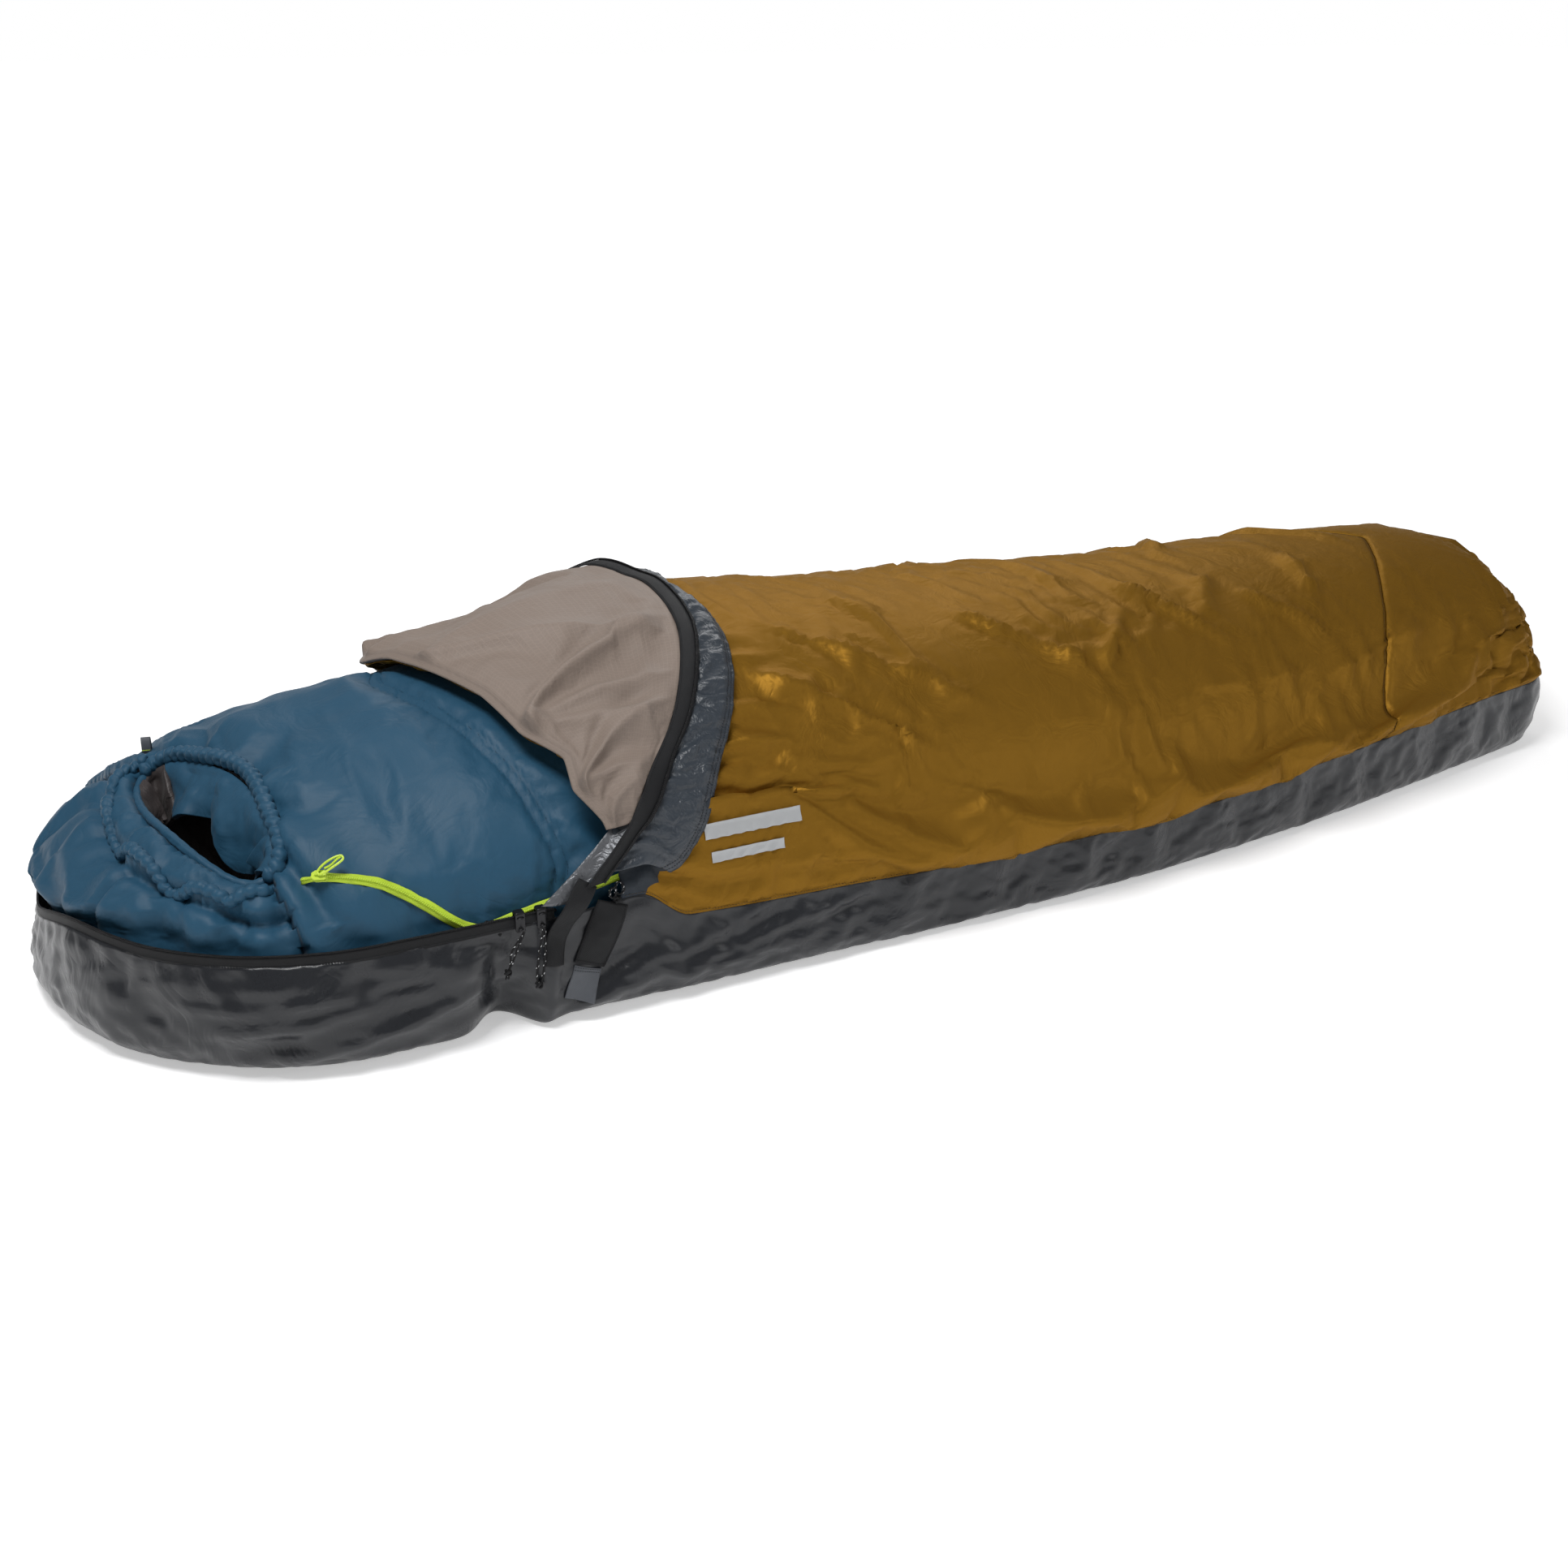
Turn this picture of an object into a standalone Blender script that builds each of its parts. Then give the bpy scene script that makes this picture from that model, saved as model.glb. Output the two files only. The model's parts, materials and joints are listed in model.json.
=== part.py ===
"""Bivy sack with a mummy sleeping bag inside it, hood flap folded back.

Frame: metres, +Z up, origin on the ground at mid length on the centre line,
+X towards the foot, head end at -X. The -Y side is called near, the +Y side far.
Cloth is drawn thicker than the real fabric, so that it is a solid.
"""
import bpy
import bmesh
import math
from mathutils import Vector, Matrix

for old in list(bpy.data.objects):
    bpy.data.objects.remove(old, do_unlink=True)

Y_AXIS, Z_AXIS = Vector((0, 1, 0)), Vector((0, 0, 1))

# ------------------------------------------------------------------ driving dimensions (m)
HALF_LENGTH = 1.065
SHOULDER_HALF = 0.350        # half width over the shoulders
FOOT_TAPER = 0.125           # how much narrower each side is at the foot
TAPER_START, TAPER_RUN, TAPER_POWER = 0.10, 0.90, 1.6
HEAD_ARC_LEN = 0.31          # half ellipse that closes the head end
HEAD_ARC_X = HEAD_ARC_LEN - HALF_LENGTH
FOOT_ARC_LEN, FOOT_ARC_POWER = 0.09, 2.6
FOOT_ARC_X = HALF_LENGTH - FOOT_ARC_LEN
SECTION_POWER = 2.2          # superellipse power of the canopy's cross section
FABRIC = 0.0020              # drawn cloth thickness
RIM_Z = 0.132                # height of the tub rim round the head opening
GAP = 0.0006                 # clearance between two sewn pieces

# (x, z) of the seam between tub and canopy
SEAM_STATIONS = [
    (-1.065, 0.132), (-0.565, 0.132), (-0.47, 0.139), (-0.41, 0.101), (-0.2, 0.093),
    (0.0, 0.086), (0.3, 0.087), (0.6, 0.100), (0.9, 0.109), (1.065, 0.109),
]
# (x, z) of the canopy's crest
CREST_STATIONS = [
    (-0.72, 0.312), (-0.6, 0.345), (-0.45, 0.362), (-0.3, 0.360), (-0.05, 0.336), (0.2, 0.318),
    (0.45, 0.306), (0.7, 0.306), (0.92, 0.302), (0.98, 0.295), (1.065, 0.200),
]
# (x, z) of the sleeping bag's crest
BAG_CREST_STATIONS = [
    (-1.05, 0.10), (-1.01, 0.175), (-0.97, 0.205), (-0.89, 0.262), (-0.81, 0.290), (-0.72, 0.310),
    (-0.6, 0.334), (-0.45, 0.348), (-0.3, 0.346), (-0.05, 0.322), (0.2, 0.304), (0.45, 0.292),
    (0.7, 0.292), (0.90, 0.288), (0.97, 0.276), (1.048, 0.190),
]

# hood: turns about the line through the two ends of its zip
HOOD_PIVOT_X, HOOD_PIVOT_Z = -0.565, 0.130
HOOD_ARCH_ANGLE = math.radians(43.0)   # plane of the folded-back edge, above +X
HOOD_ARCH_OFFSET = 0.015               # edge stands this far off the canopy

# canopy ends: x at the crest and at the sides
FOLD_CREST_X, FOLD_SIDE_X = -0.615, -0.50
FOLD_BREAK = 0.943           # share of the half width where the fold line turns back
FOLD_SETBACK = 0.014         # how far it turns back towards the head
FOOT_SEAM_CREST_X, FOOT_SEAM_SWEEP, FOOT_SEAM_POWER = 0.84, 0.19, 1.1

BAG_INSET = 0.014            # sleeping bag to sack, side clearance
BAG_AXIS_Z = 0.100           # widest level of the sleeping bag
BAG_BOTTOM_Z = 0.0045
BAG_LEAST_DEPTH = 0.004      # the section keeps this much above and below its axis
BAG_TOP_POWER, BAG_LOW_POWER = 2.4, 3.0   # section powers above and below the axis
BAG_END_POWER = 1.4          # how the underside rises towards the ends
BAG_SIDES = 20
LOFT = 0.030                 # insulation thickness, part packed down by the sack
LINING_INSET = LOFT + 0.0012
LINING_INNER_INSET = LINING_INSET + FABRIC

MOUTH_CENTRE = Vector((-0.885, -0.120, 0.0))
MOUTH_HALF_LONG, MOUTH_HALF_SHORT = 0.145, 0.048
MOUTH_DIR = Vector((0.272, -0.962, 0.0)).normalized()   # long axis of the face opening
MOUTH_SIDE = Vector((-MOUTH_DIR.y, MOUTH_DIR.x, 0.0))   # its short axis, towards the foot


# ------------------------------------------------------------------ spacing and paths
def spread(count, start=0.0, end=1.0):
    return [start + (end - start) * i / (count - 1) for i in range(count)]


def turn_angles(count):
    return [2 * math.pi * i / count for i in range(count)]


def at_height(path, z):
    return [Vector((p.x, p.y, z)) for p in path]


def neighbours(path, i, closed):
    """The points before and after point i, or the point itself past an open end."""
    count = len(path)
    before = path[(i - 1) % count] if closed or i else path[i]
    after = path[(i + 1) % count] if closed or i < count - 1 else path[i]
    return before, after


def shift_left(path, distance, closed):
    """A level path moved to the left of its direction of travel."""
    moved = []
    for i, point in enumerate(path):
        before, after = neighbours(path, i, closed)
        along = (after - before).normalized()
        moved.append(point + distance * Vector((-along.y, along.x, 0)))
    return moved


# ------------------------------------------------------------------ sack surface
def table(stations, x):
    """Smooth value at x through (x, value) stations, cubic Hermite, flat beyond the ends."""
    if x <= stations[0][0]:
        return stations[0][1]
    if x >= stations[-1][0]:
        return stations[-1][1]
    for k in range(len(stations) - 1):
        x0, value0 = stations[k]
        x1, value1 = stations[k + 1]
        if x <= x1:
            break
    span = x1 - x0

    def chord(i):
        return (stations[i + 1][1] - stations[i][1]) / (stations[i + 1][0] - stations[i][0])

    def slope(i):
        if i <= 0 or i >= len(stations) - 1:
            return chord(k)
        before, after = chord(i - 1), chord(i)
        return 0.0 if before * after <= 0 else 2 * before * after / (before + after)

    t = (x - x0) / span
    return ((2 * t ** 3 - 3 * t ** 2 + 1) * value0
            + (t ** 3 - 2 * t ** 2 + t) * span * slope(k)
            + (-2 * t ** 3 + 3 * t ** 2) * value1
            + (t ** 3 - t ** 2) * span * slope(k + 1))


def tapered_half(x, inset):
    """Half width at x before the ends are rounded."""
    width = SHOULDER_HALF - inset
    if x > TAPER_START:
        width -= FOOT_TAPER * ((x - TAPER_START) / TAPER_RUN) ** TAPER_POWER
    return width


def half_width(x, inset=0.0):
    """Half width of the sack at x, shrunk by inset on all sides."""
    width = tapered_half(x, inset)
    if x < HEAD_ARC_X:
        share = (x - HEAD_ARC_X) / (HEAD_ARC_LEN - inset)
        width *= math.sqrt(max(0.0, 1 - share * share))
    share = (x - FOOT_ARC_X) / (FOOT_ARC_LEN - inset)
    if share > 0:
        width *= max(0.0, 1 - min(1.0, share) ** FOOT_ARC_POWER) ** (1 / FOOT_ARC_POWER)
    return max(width, 0.0)


def seam_z(x):
    return table(SEAM_STATIONS, x)


def crest_z(x):
    return table(CREST_STATIONS, x)


def width_share(angle):
    """Distance from the centre line at a canopy angle, as a share of the half width."""
    return abs(math.cos(angle)) ** (2 / SECTION_POWER)


def canopy(x, angle, lift=0.0):
    """Point on the canopy: angle 0 at the near seam, pi at the far seam, lift outwards."""
    width = half_width(x)
    width = width + lift if width > 1e-6 else 0.0     # the foot closes to a point
    low, high = seam_z(x) + GAP, crest_z(x) + lift
    y = -width * math.copysign(width_share(angle), math.cos(angle))
    return Vector((x, y, low + (high - low) * math.sin(angle) ** (2 / SECTION_POWER)))


def fold_x(angle):
    """Head-end edge of the canopy, where the hood flap turns back on itself."""
    share = width_share(angle)
    if share <= FOLD_BREAK:
        return FOLD_CREST_X + (FOLD_SIDE_X - FOLD_CREST_X) * share / FOLD_BREAK
    return FOLD_SIDE_X - FOLD_SETBACK * (share - FOLD_BREAK) / (1 - FOLD_BREAK)


def foot_seam_x(angle):
    return FOOT_SEAM_CREST_X - FOOT_SEAM_SWEEP * width_share(angle) ** FOOT_SEAM_POWER


def arch_x(angle):
    """x where the tilted plane of the folded-back hood edge meets the lifted canopy."""
    low, high = -0.62, -0.05
    for _ in range(40):
        middle = (low + high) / 2
        plane_z = HOOD_PIVOT_Z + (middle - HOOD_PIVOT_X) * math.tan(HOOD_ARCH_ANGLE)
        if canopy(middle, angle, HOOD_ARCH_OFFSET).z > plane_z:
            low = middle
        else:
            high = middle
    return (low + high) / 2


# ------------------------------------------------------------------ sleeping bag surface
def bag_section(x, inset=0.0):
    """Half width, bottom and top of the sleeping bag at x."""
    width = half_width(x, BAG_INSET + inset)
    fullness = min(1.0, width / tapered_half(x, BAG_INSET + inset))
    top = max(table(BAG_CREST_STATIONS, x) - inset, BAG_AXIS_Z + BAG_LEAST_DEPTH)
    flat_low = BAG_BOTTOM_Z + inset
    low = flat_low + (BAG_AXIS_Z - flat_low - BAG_LEAST_DEPTH) * (1 - fullness) ** BAG_END_POWER
    return width, low, top


def bag_ring(x, inset):
    width, low, top = bag_section(x, inset)
    ring = []
    for angle in turn_angles(BAG_SIDES):
        across, rise = math.cos(angle), math.sin(angle)
        if rise >= 0:
            share = abs(across) ** (2 / BAG_TOP_POWER)
            z = BAG_AXIS_Z + (top - BAG_AXIS_Z) * rise
        else:
            share = abs(across) ** (2 / BAG_LOW_POWER)
            z = BAG_AXIS_Z - (BAG_AXIS_Z - low) * abs(rise) ** (2 / BAG_LOW_POWER)
        ring.append(Vector((x, -width * math.copysign(share, across), z)))
    return ring


def bag_top(x, y, inset=0.0):
    """Height of the bag's upper surface above (x, y)."""
    width, _, top = bag_section(x, inset)
    share = min(0.999, abs(y) / width)
    return BAG_AXIS_Z + (top - BAG_AXIS_Z) * math.sqrt(1 - share ** BAG_TOP_POWER)


def bag_flank(x, z):
    """Point on the bag's near flank at height z."""
    width, _, top = bag_section(x)
    share = (z - BAG_AXIS_Z) / (top - BAG_AXIS_Z)
    return Vector((x, -width * (1 - share * share) ** (1 / BAG_TOP_POWER), z))


def flank_normal(x, z):
    step = 0.002
    along = bag_flank(x + step, z) - bag_flank(x - step, z)
    upward = bag_flank(x, z + step) - bag_flank(x, z - step)
    return along.cross(upward).normalized()


def mouth_ring(half_long, half_short, count):
    """Ellipse round the face opening, at ground level."""
    return [MOUTH_CENTRE + MOUTH_DIR * half_long * math.cos(angle)
            + MOUTH_SIDE * half_short * math.sin(angle) for angle in turn_angles(count)]


# ------------------------------------------------------------------ materials
def make_material(name, color, roughness):
    made = bpy.data.materials.new(name)
    made.use_nodes = True
    shader = made.node_tree.nodes["Principled BSDF"]
    shader.inputs["Base Color"].default_value = (*color, 1)
    shader.inputs["Roughness"].default_value = roughness
    made.diffuse_color = (*color, 1)
    return made


GOLD = make_material("gold_laminate", color=(0.183, 0.087, 0.016), roughness=0.42)
SLATE = make_material("slate_coated_nylon", color=(0.038, 0.041, 0.046), roughness=0.35)
BAND = make_material("slate_band_nylon", color=(0.058, 0.069, 0.083), roughness=0.40)
TAUPE = make_material("taupe_ripstop_lining", color=(0.225, 0.182, 0.152), roughness=0.65)
BLUE = make_material("blue_taffeta", color=(0.042, 0.100, 0.164), roughness=0.55)
BROWN = make_material("charcoal_taffeta", color=(0.045, 0.035, 0.032), roughness=0.5)
LIME = make_material("lime_zip", color=(0.60, 0.73, 0.18), roughness=0.5)
BLACK = make_material("black_webbing", color=(0.012, 0.013, 0.015), roughness=0.7)
NET = make_material("black_net", color=(0.010, 0.011, 0.012), roughness=0.8)
CORD = make_material("reflective_cord", color=(0.02, 0.02, 0.022), roughness=0.6)
REFLECT = make_material("reflective_print", color=(0.52, 0.53, 0.54), roughness=0.35)
GREY = make_material("grey_nylon", color=(0.075, 0.085, 0.100), roughness=0.5)
METAL = make_material("black_zip_slider", color=(0.020, 0.020, 0.022), roughness=0.35)


# ------------------------------------------------------------------ mesh helpers
def add_verts(bm, points):
    return [bm.verts.new(p) for p in points]


def bridge(bm, first, second, closed=True):
    """Quads between two rows of vertices of equal length."""
    count = len(first)
    for i in range(count if closed else count - 1):
        j = (i + 1) % count
        bm.faces.new((first[i], first[j], second[j], second[i]))


def add_object(name, bm, material):
    mesh = bpy.data.meshes.new(name)
    bm.to_mesh(mesh)
    bm.free()
    mesh.shade_smooth()
    mesh.materials.append(material)
    ob = bpy.data.objects.new(name, mesh)
    bpy.context.scene.collection.objects.link(ob)
    return ob


def add_solid(name, bm, material):
    """A closed mesh with outward normals and its sharp edges marked."""
    bmesh.ops.recalc_face_normals(bm, faces=bm.faces[:])
    ob = add_object(name, bm, material)
    ob.data.set_sharp_from_angle(angle=math.radians(40))
    return ob


def thicken(ob, thickness, offset):
    """Offset -1 grows against the face normals, +1 along them, 0 both ways."""
    solidify = ob.modifiers.new("cloth", "SOLIDIFY")
    solidify.thickness = thickness
    solidify.offset = offset
    solidify.use_even_offset = False


def sheet(name, rows, thickness, material, offset=1, weld=False):
    """A cloth sheet from rows of points."""
    bm = bmesh.new()
    grid = [add_verts(bm, row) for row in rows]
    for first, second in zip(grid, grid[1:]):
        bridge(bm, first, second, closed=False)
    if weld:
        bmesh.ops.remove_doubles(bm, verts=bm.verts[:], dist=0.00005)
        bmesh.ops.dissolve_degenerate(bm, edges=bm.edges[:], dist=0.00001)
    thicken(add_object(name, bm, material), thickness, offset)


def tube(name, path, radii, material, sides=6, closed=False, up=Z_AXIS):
    """A round solid swept along path; radii is one number or one per point."""
    if not isinstance(radii, list):
        radii = [radii] * len(path)
    bm = bmesh.new()
    rings = []
    for i, (centre, radius) in enumerate(zip(path, radii)):
        before, after = neighbours(path, i, closed)
        along = (after - before).normalized()
        across = along.cross(up).normalized()
        rise = across.cross(along).normalized()
        rings.append(add_verts(bm, [
            centre + radius * (math.cos(angle) * across + math.sin(angle) * rise)
            for angle in turn_angles(sides)]))
    followers = rings[1:] + rings[:1] if closed else rings[1:]
    for first, second in zip(rings, followers):
        bridge(bm, first, second)
    if not closed:
        bm.faces.new(rings[0][::-1])
        bm.faces.new(rings[-1])
    add_solid(name, bm, material)


def prism(name, profile, depth, placement, material):
    """A closed polygon (u, v), depth thick along w and centred on it, placed by a matrix."""
    bm = bmesh.new()
    face = bm.faces.new([bm.verts.new((u, v, -depth / 2)) for u, v in profile])
    extruded = bmesh.ops.extrude_face_region(bm, geom=[face])
    moved = [part for part in extruded["geom"] if isinstance(part, bmesh.types.BMVert)]
    bmesh.ops.translate(bm, verts=moved, vec=(0, 0, depth))
    bm.transform(placement)
    return add_solid(name, bm, material)


def rectangle(half_u, half_v):
    return [(-half_u, -half_v), (half_u, -half_v), (half_u, half_v), (-half_u, half_v)]


def frame_matrix(origin, u_axis, v_axis, w_axis):
    matrix = Matrix((u_axis, v_axis, w_axis)).transposed().to_4x4()
    matrix.translation = Vector(origin)
    return matrix


def as_tool(ob):
    """Hide a solid that is only used by boolean modifiers."""
    ob.hide_render = True
    ob.display_type = "WIRE"
    return ob


def combine(ob, tool, operation="DIFFERENCE"):
    boolean = ob.modifiers.new(operation.lower() + "_" + tool.name, "BOOLEAN")
    boolean.operation = operation
    boolean.object = tool
    boolean.solver = "EXACT"


# ------------------------------------------------------------------ tub floor
def head_arc_xs(degrees):
    """x on the head arc at angles from its widest point; 90 is the tip."""
    return [HEAD_ARC_X - HEAD_ARC_LEN * math.sin(math.radians(d)) for d in degrees]


# x of the outline's points, from head to foot
STATIONS = (
    head_arc_xs((90, 80, 68, 56, 44, 33, 22, 11, 0))
    + [-0.66, -0.565, -0.518, -0.47, -0.44, -0.41, -0.30, -0.15,
       0.0, 0.15, 0.3, 0.45, 0.6, 0.75, 0.9]
    + [FOOT_ARC_X + FOOT_ARC_LEN * share for share in (0.0, 0.3, 0.55, 0.75, 0.88, 0.96, 1.0)]
)
TUB_LEVELS = [(0.030, 0.0), (0.010, 0.008), (0.001, 0.040)]   # (inset, z) below the top edge
LAP_INSET, LAP_RISE = 0.0046, 0.002   # top edge laps behind the canopy's lower edge
LAP_START_X = -0.55


def outline(inset=0.0):
    """Near side from head to foot, then far side back, inset along the outline's normal."""
    near = [Vector((x, -half_width(x), 0)) for x in STATIONS]
    far = [Vector((p.x, -p.y, 0)) for p in near[-2:0:-1]]
    return shift_left(near + far, inset, closed=True)


def build_tub():
    rows = [at_height(outline(inset), z) for inset, z in TUB_LEVELS]
    rows.append([
        Vector((lapped.x, lapped.y, seam_z(lapped.x) + LAP_RISE)) if lapped.x > LAP_START_X
        else Vector((edge.x, edge.y, RIM_Z))
        for edge, lapped in zip(outline(), outline(LAP_INSET))])
    bm = bmesh.new()
    grid = [add_verts(bm, row) for row in rows]
    for first, second in zip(grid, grid[1:]):
        bridge(bm, first, second)

    floor = grid[0]
    count = len(floor)
    for i in range(len(STATIONS) - 1):    # floor strips, laid across from near to far
        strip = [floor[i], floor[(count - i) % count], floor[count - i - 1], floor[i + 1]]
        # the two end strips are triangles, so repeated corners are left out
        bm.faces.new([v for k, v in enumerate(strip) if v not in strip[:k]])

    # the floor faces down, so that the cloth thickens inwards
    bmesh.ops.recalc_face_normals(bm, faces=bm.faces[:])
    if sum(f.normal.z for f in bm.faces if abs(f.calc_center_median().z) < 1e-5) > 0:
        bmesh.ops.reverse_faces(bm, faces=bm.faces[:])
    thicken(add_object("tub_floor", bm, SLATE), FABRIC, -1)


build_tub()

# ------------------------------------------------------------------ canopy and foot panel
CANOPY_ANGLES = [math.pi * i / 22 for i in range(23)]
CANOPY_SHARES = [share ** 1.7 for share in spread(17)]   # closer together at the head end
FOOT_SHARES = (0.0, 0.35, 0.62, 0.78, 0.86, 0.92, 0.96, 0.985, 1.0)


def canopy_rows(shares, start_x, end_x):
    """Canopy points at shares of the way from start_x(angle) to end_x(angle)."""
    return [[canopy(start_x(angle) + (end_x(angle) - start_x(angle)) * share, angle)
             for angle in CANOPY_ANGLES] for share in shares]


sheet("body_canopy",
      canopy_rows(CANOPY_SHARES, fold_x, lambda angle: foot_seam_x(angle) - GAP),
      FABRIC, GOLD)
sheet("foot_panel",
      canopy_rows(FOOT_SHARES, lambda angle: foot_seam_x(angle) + GAP, lambda angle: HALF_LENGTH),
      FABRIC, GOLD, weld=True)

# seam tape inside along the tub seam, round the foot
SEAM_TAPE_INSET, SEAM_TAPE_HALF, SEAM_TAPE_START_X = 0.0096, 0.009, -0.42
tape_path = [p for p in outline(SEAM_TAPE_INSET) if p.x > SEAM_TAPE_START_X]
sheet("seam_tape",
      [[Vector((p.x, p.y, seam_z(p.x) + rise)) for p in tape_path]
       for rise in (-SEAM_TAPE_HALF, SEAM_TAPE_HALF)],
      0.0008, SLATE)

# ------------------------------------------------------------------ hood flap, band, zip half
# (canopy angle, x) along the folded-back edge
ARCH = [(angle, arch_x(angle)) for angle in spread(23, math.radians(7.0), math.radians(173.0))]
HOOD_TAPE_WIDTH = 0.024
HOOD_COIL_FORWARD, HOOD_COIL_LIFT = 0.007, 0.0038   # towards the foot, and off the tape
FLAP_FOLD_GAP, FLAP_ARCH_GAP = 0.004, 0.016   # flap to fold line, flap to arch
FLAP_CUTOFF = 0.012          # the flap ends where it would stop this close to the fold
FLAP_LIFT, FLAP_LIFT_GAIN = 0.0050, 0.0060
BAND_LIFT, BAND_GAP = 0.0075, 0.004
BAND_CREST_WIDTH, BAND_SIDE_GAIN, BAND_POWER = 0.022, 0.058, 0.9
BAND_LEAST_REACH = 0.035     # the band stops this far along X from the pivot


def flap_point(angle, arch, share):
    start, end = fold_x(angle) + FLAP_FOLD_GAP, arch - FLAP_ARCH_GAP
    return canopy(start + (end - start) * share, angle, FLAP_LIFT + FLAP_LIFT_GAIN * share)


def band_point(angle, arch, share):
    width = BAND_CREST_WIDTH + BAND_SIDE_GAIN * abs(math.cos(angle)) ** BAND_POWER
    return canopy(arch + BAND_GAP + width * share, angle, BAND_LIFT)


flap_arch = [(angle, arch) for angle, arch in ARCH
             if arch - FLAP_ARCH_GAP > fold_x(angle) + FLAP_CUTOFF]
sheet("hood_flap", [[flap_point(*station, share) for station in flap_arch] for share in spread(6)],
      0.0014, TAUPE)

sheet("hood_zip_tape",
      [[canopy(arch + side * HOOD_TAPE_WIDTH / 2, angle, HOOD_ARCH_OFFSET) for angle, arch in ARCH]
       for side in (-1, 1)],
      0.0012, BLACK, offset=-1)

band_arch = [(angle, arch) for angle, arch in ARCH if arch - HOOD_PIVOT_X > BAND_LEAST_REACH]
sheet("hood_edge_band",
      [[band_point(*station, share) for station in band_arch] for share in spread(3)],
      0.0014, BAND)

tube("hood_zip_coil",
     [canopy(arch + HOOD_COIL_FORWARD, angle, HOOD_ARCH_OFFSET + HOOD_COIL_LIFT)
      for angle, arch in ARCH],
     0.0012, BLACK, sides=5)

# ------------------------------------------------------------------ rim zip half on the tub
# near side from the hood pivot to the head tip, then back along the far side
RIM_XS = [-0.568, -0.66] + head_arc_xs((0, 8, 16, 25, 34, 43, 52, 62, 72, 81))
RIM_INSET = 0.0010
RIM_TAPE_LOW, RIM_TAPE_HIGH, RIM_COIL_RISE = 0.0005, 0.0105, 0.0121   # above the rim

near_rim = [Vector((x, -half_width(x), 0)) for x in RIM_XS]
far_rim = [Vector((p.x, -p.y, 0)) for p in reversed(near_rim)]
rim_path = shift_left(near_rim + [Vector((-HALF_LENGTH, 0, 0))] + far_rim,
                      -RIM_INSET, closed=False)
sheet("rim_zip_tape",
      [at_height(rim_path, RIM_Z + rise) for rise in (RIM_TAPE_LOW, RIM_TAPE_HIGH)],
      0.0010, BLACK, offset=0)
tube("rim_zip_coil", at_height(rim_path, RIM_Z + RIM_COIL_RISE), 0.0011, BLACK, sides=5)

# ------------------------------------------------------------------ sliders and cord pulls on the rim
SLIDER_X, NET_SLIDER_X = -0.607, -0.583
SLIDER_LENGTH = 0.009
# (distance from the centre line, z) of a hook that straddles the rim tape
SLIDER_PROFILE = [
    (0.3445, 0.1375), (0.3460, 0.1375), (0.3460, 0.1465), (0.3520, 0.1465),
    (0.3520, 0.1260), (0.3540, 0.1260), (0.3545, 0.1480), (0.3445, 0.1480),
]
LUG_Y, LUG_Z, LUG_RADIUS, LUG_LENGTH = 0.3553, 0.129, 0.0016, 0.005
PULL_Y, PULL_Z, PULL_LENGTH = 0.3585, 0.1245, 0.048
PULL_SPLAY = 0.0015          # the hanging end stands this much further out
# top end, four beads with two plain points before each, end knot
PULL_RADII = [0.0012] + [0.0011, 0.0011, 0.0017] * 4 + [0.0018, 0.0028, 0.0016]
NET_PULL_DROP, NET_PULL_LEAN, NET_PULL_SPLAY = 0.0325, 0.011, 0.0010
NET_PULL_HALF_WIDTH, NET_PULL_TOP_DROP = 0.0045, 0.0012
NET_ROLL_Y, NET_ROLL_Z = -0.3425, 0.126


def rim_slider(name, x, side):
    """A slider on the rim tape, with a lug for its cord."""
    placement = frame_matrix((x, 0, 0), Vector((0, side, 0)), Z_AXIS, Vector((side, 0, 0)))
    slider = prism(name, SLIDER_PROFILE, SLIDER_LENGTH, placement, METAL)
    bm = bmesh.new()
    lug_matrix = (Matrix.Translation((x, side * LUG_Y, LUG_Z))
                  @ Matrix.Rotation(math.pi / 2, 4, "Y"))
    bmesh.ops.create_cone(bm, cap_ends=True, segments=8, radius1=LUG_RADIUS,
                          radius2=LUG_RADIUS, depth=LUG_LENGTH, matrix=lug_matrix)
    combine(slider, as_tool(add_solid(name + "_lug_tool", bm, METAL)), "UNION")


def cord_pull(name, x, side, lean):
    """A knotted cord hanging from the slider's lug, with beads along it."""
    top = Vector((x, side * PULL_Y, PULL_Z))
    path = [top + Vector((lean * share, side * PULL_SPLAY * share, -PULL_LENGTH * share))
            for share in spread(len(PULL_RADII))]
    tube(name, path, PULL_RADII, CORD, up=Y_AXIS)


def net_pull():
    """A closed loop of cord on the net slider."""
    top = Vector((NET_SLIDER_X, -PULL_Y, PULL_Z))
    path = []
    for angle in turn_angles(20):
        down = (1 - math.cos(angle)) / 2      # 0 at the top, 1 at the bottom
        sideways = NET_PULL_HALF_WIDTH * math.sin(angle) * (0.35 + 0.65 * down)
        path.append(top + Vector((-NET_PULL_LEAN * down + sideways,
                                  -2 * NET_PULL_SPLAY * down,
                                  -2 * NET_PULL_DROP * down - NET_PULL_TOP_DROP)))
    tube("net_pull", path, [0.0010, 0.0015] * 10, CORD, closed=True, up=Y_AXIS)


for side, tag, lean in ((-1, "near", -0.022), (1, "far", -0.018)):
    rim_slider("zip_slider_" + tag, SLIDER_X, side)
    cord_pull("zip_pull_" + tag, SLIDER_X, side, lean)
rim_slider("net_slider", NET_SLIDER_X, -1)
net_pull()

# insect net, stowed as a small roll inside the near rim
tube("net_roll", [Vector((x, NET_ROLL_Y, NET_ROLL_Z)) for x in spread(7, -0.645, -0.570)],
     [0.0018, 0.0028, 0.0030, 0.0027, 0.0030, 0.0028, 0.0018], NET, sides=8)

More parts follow.
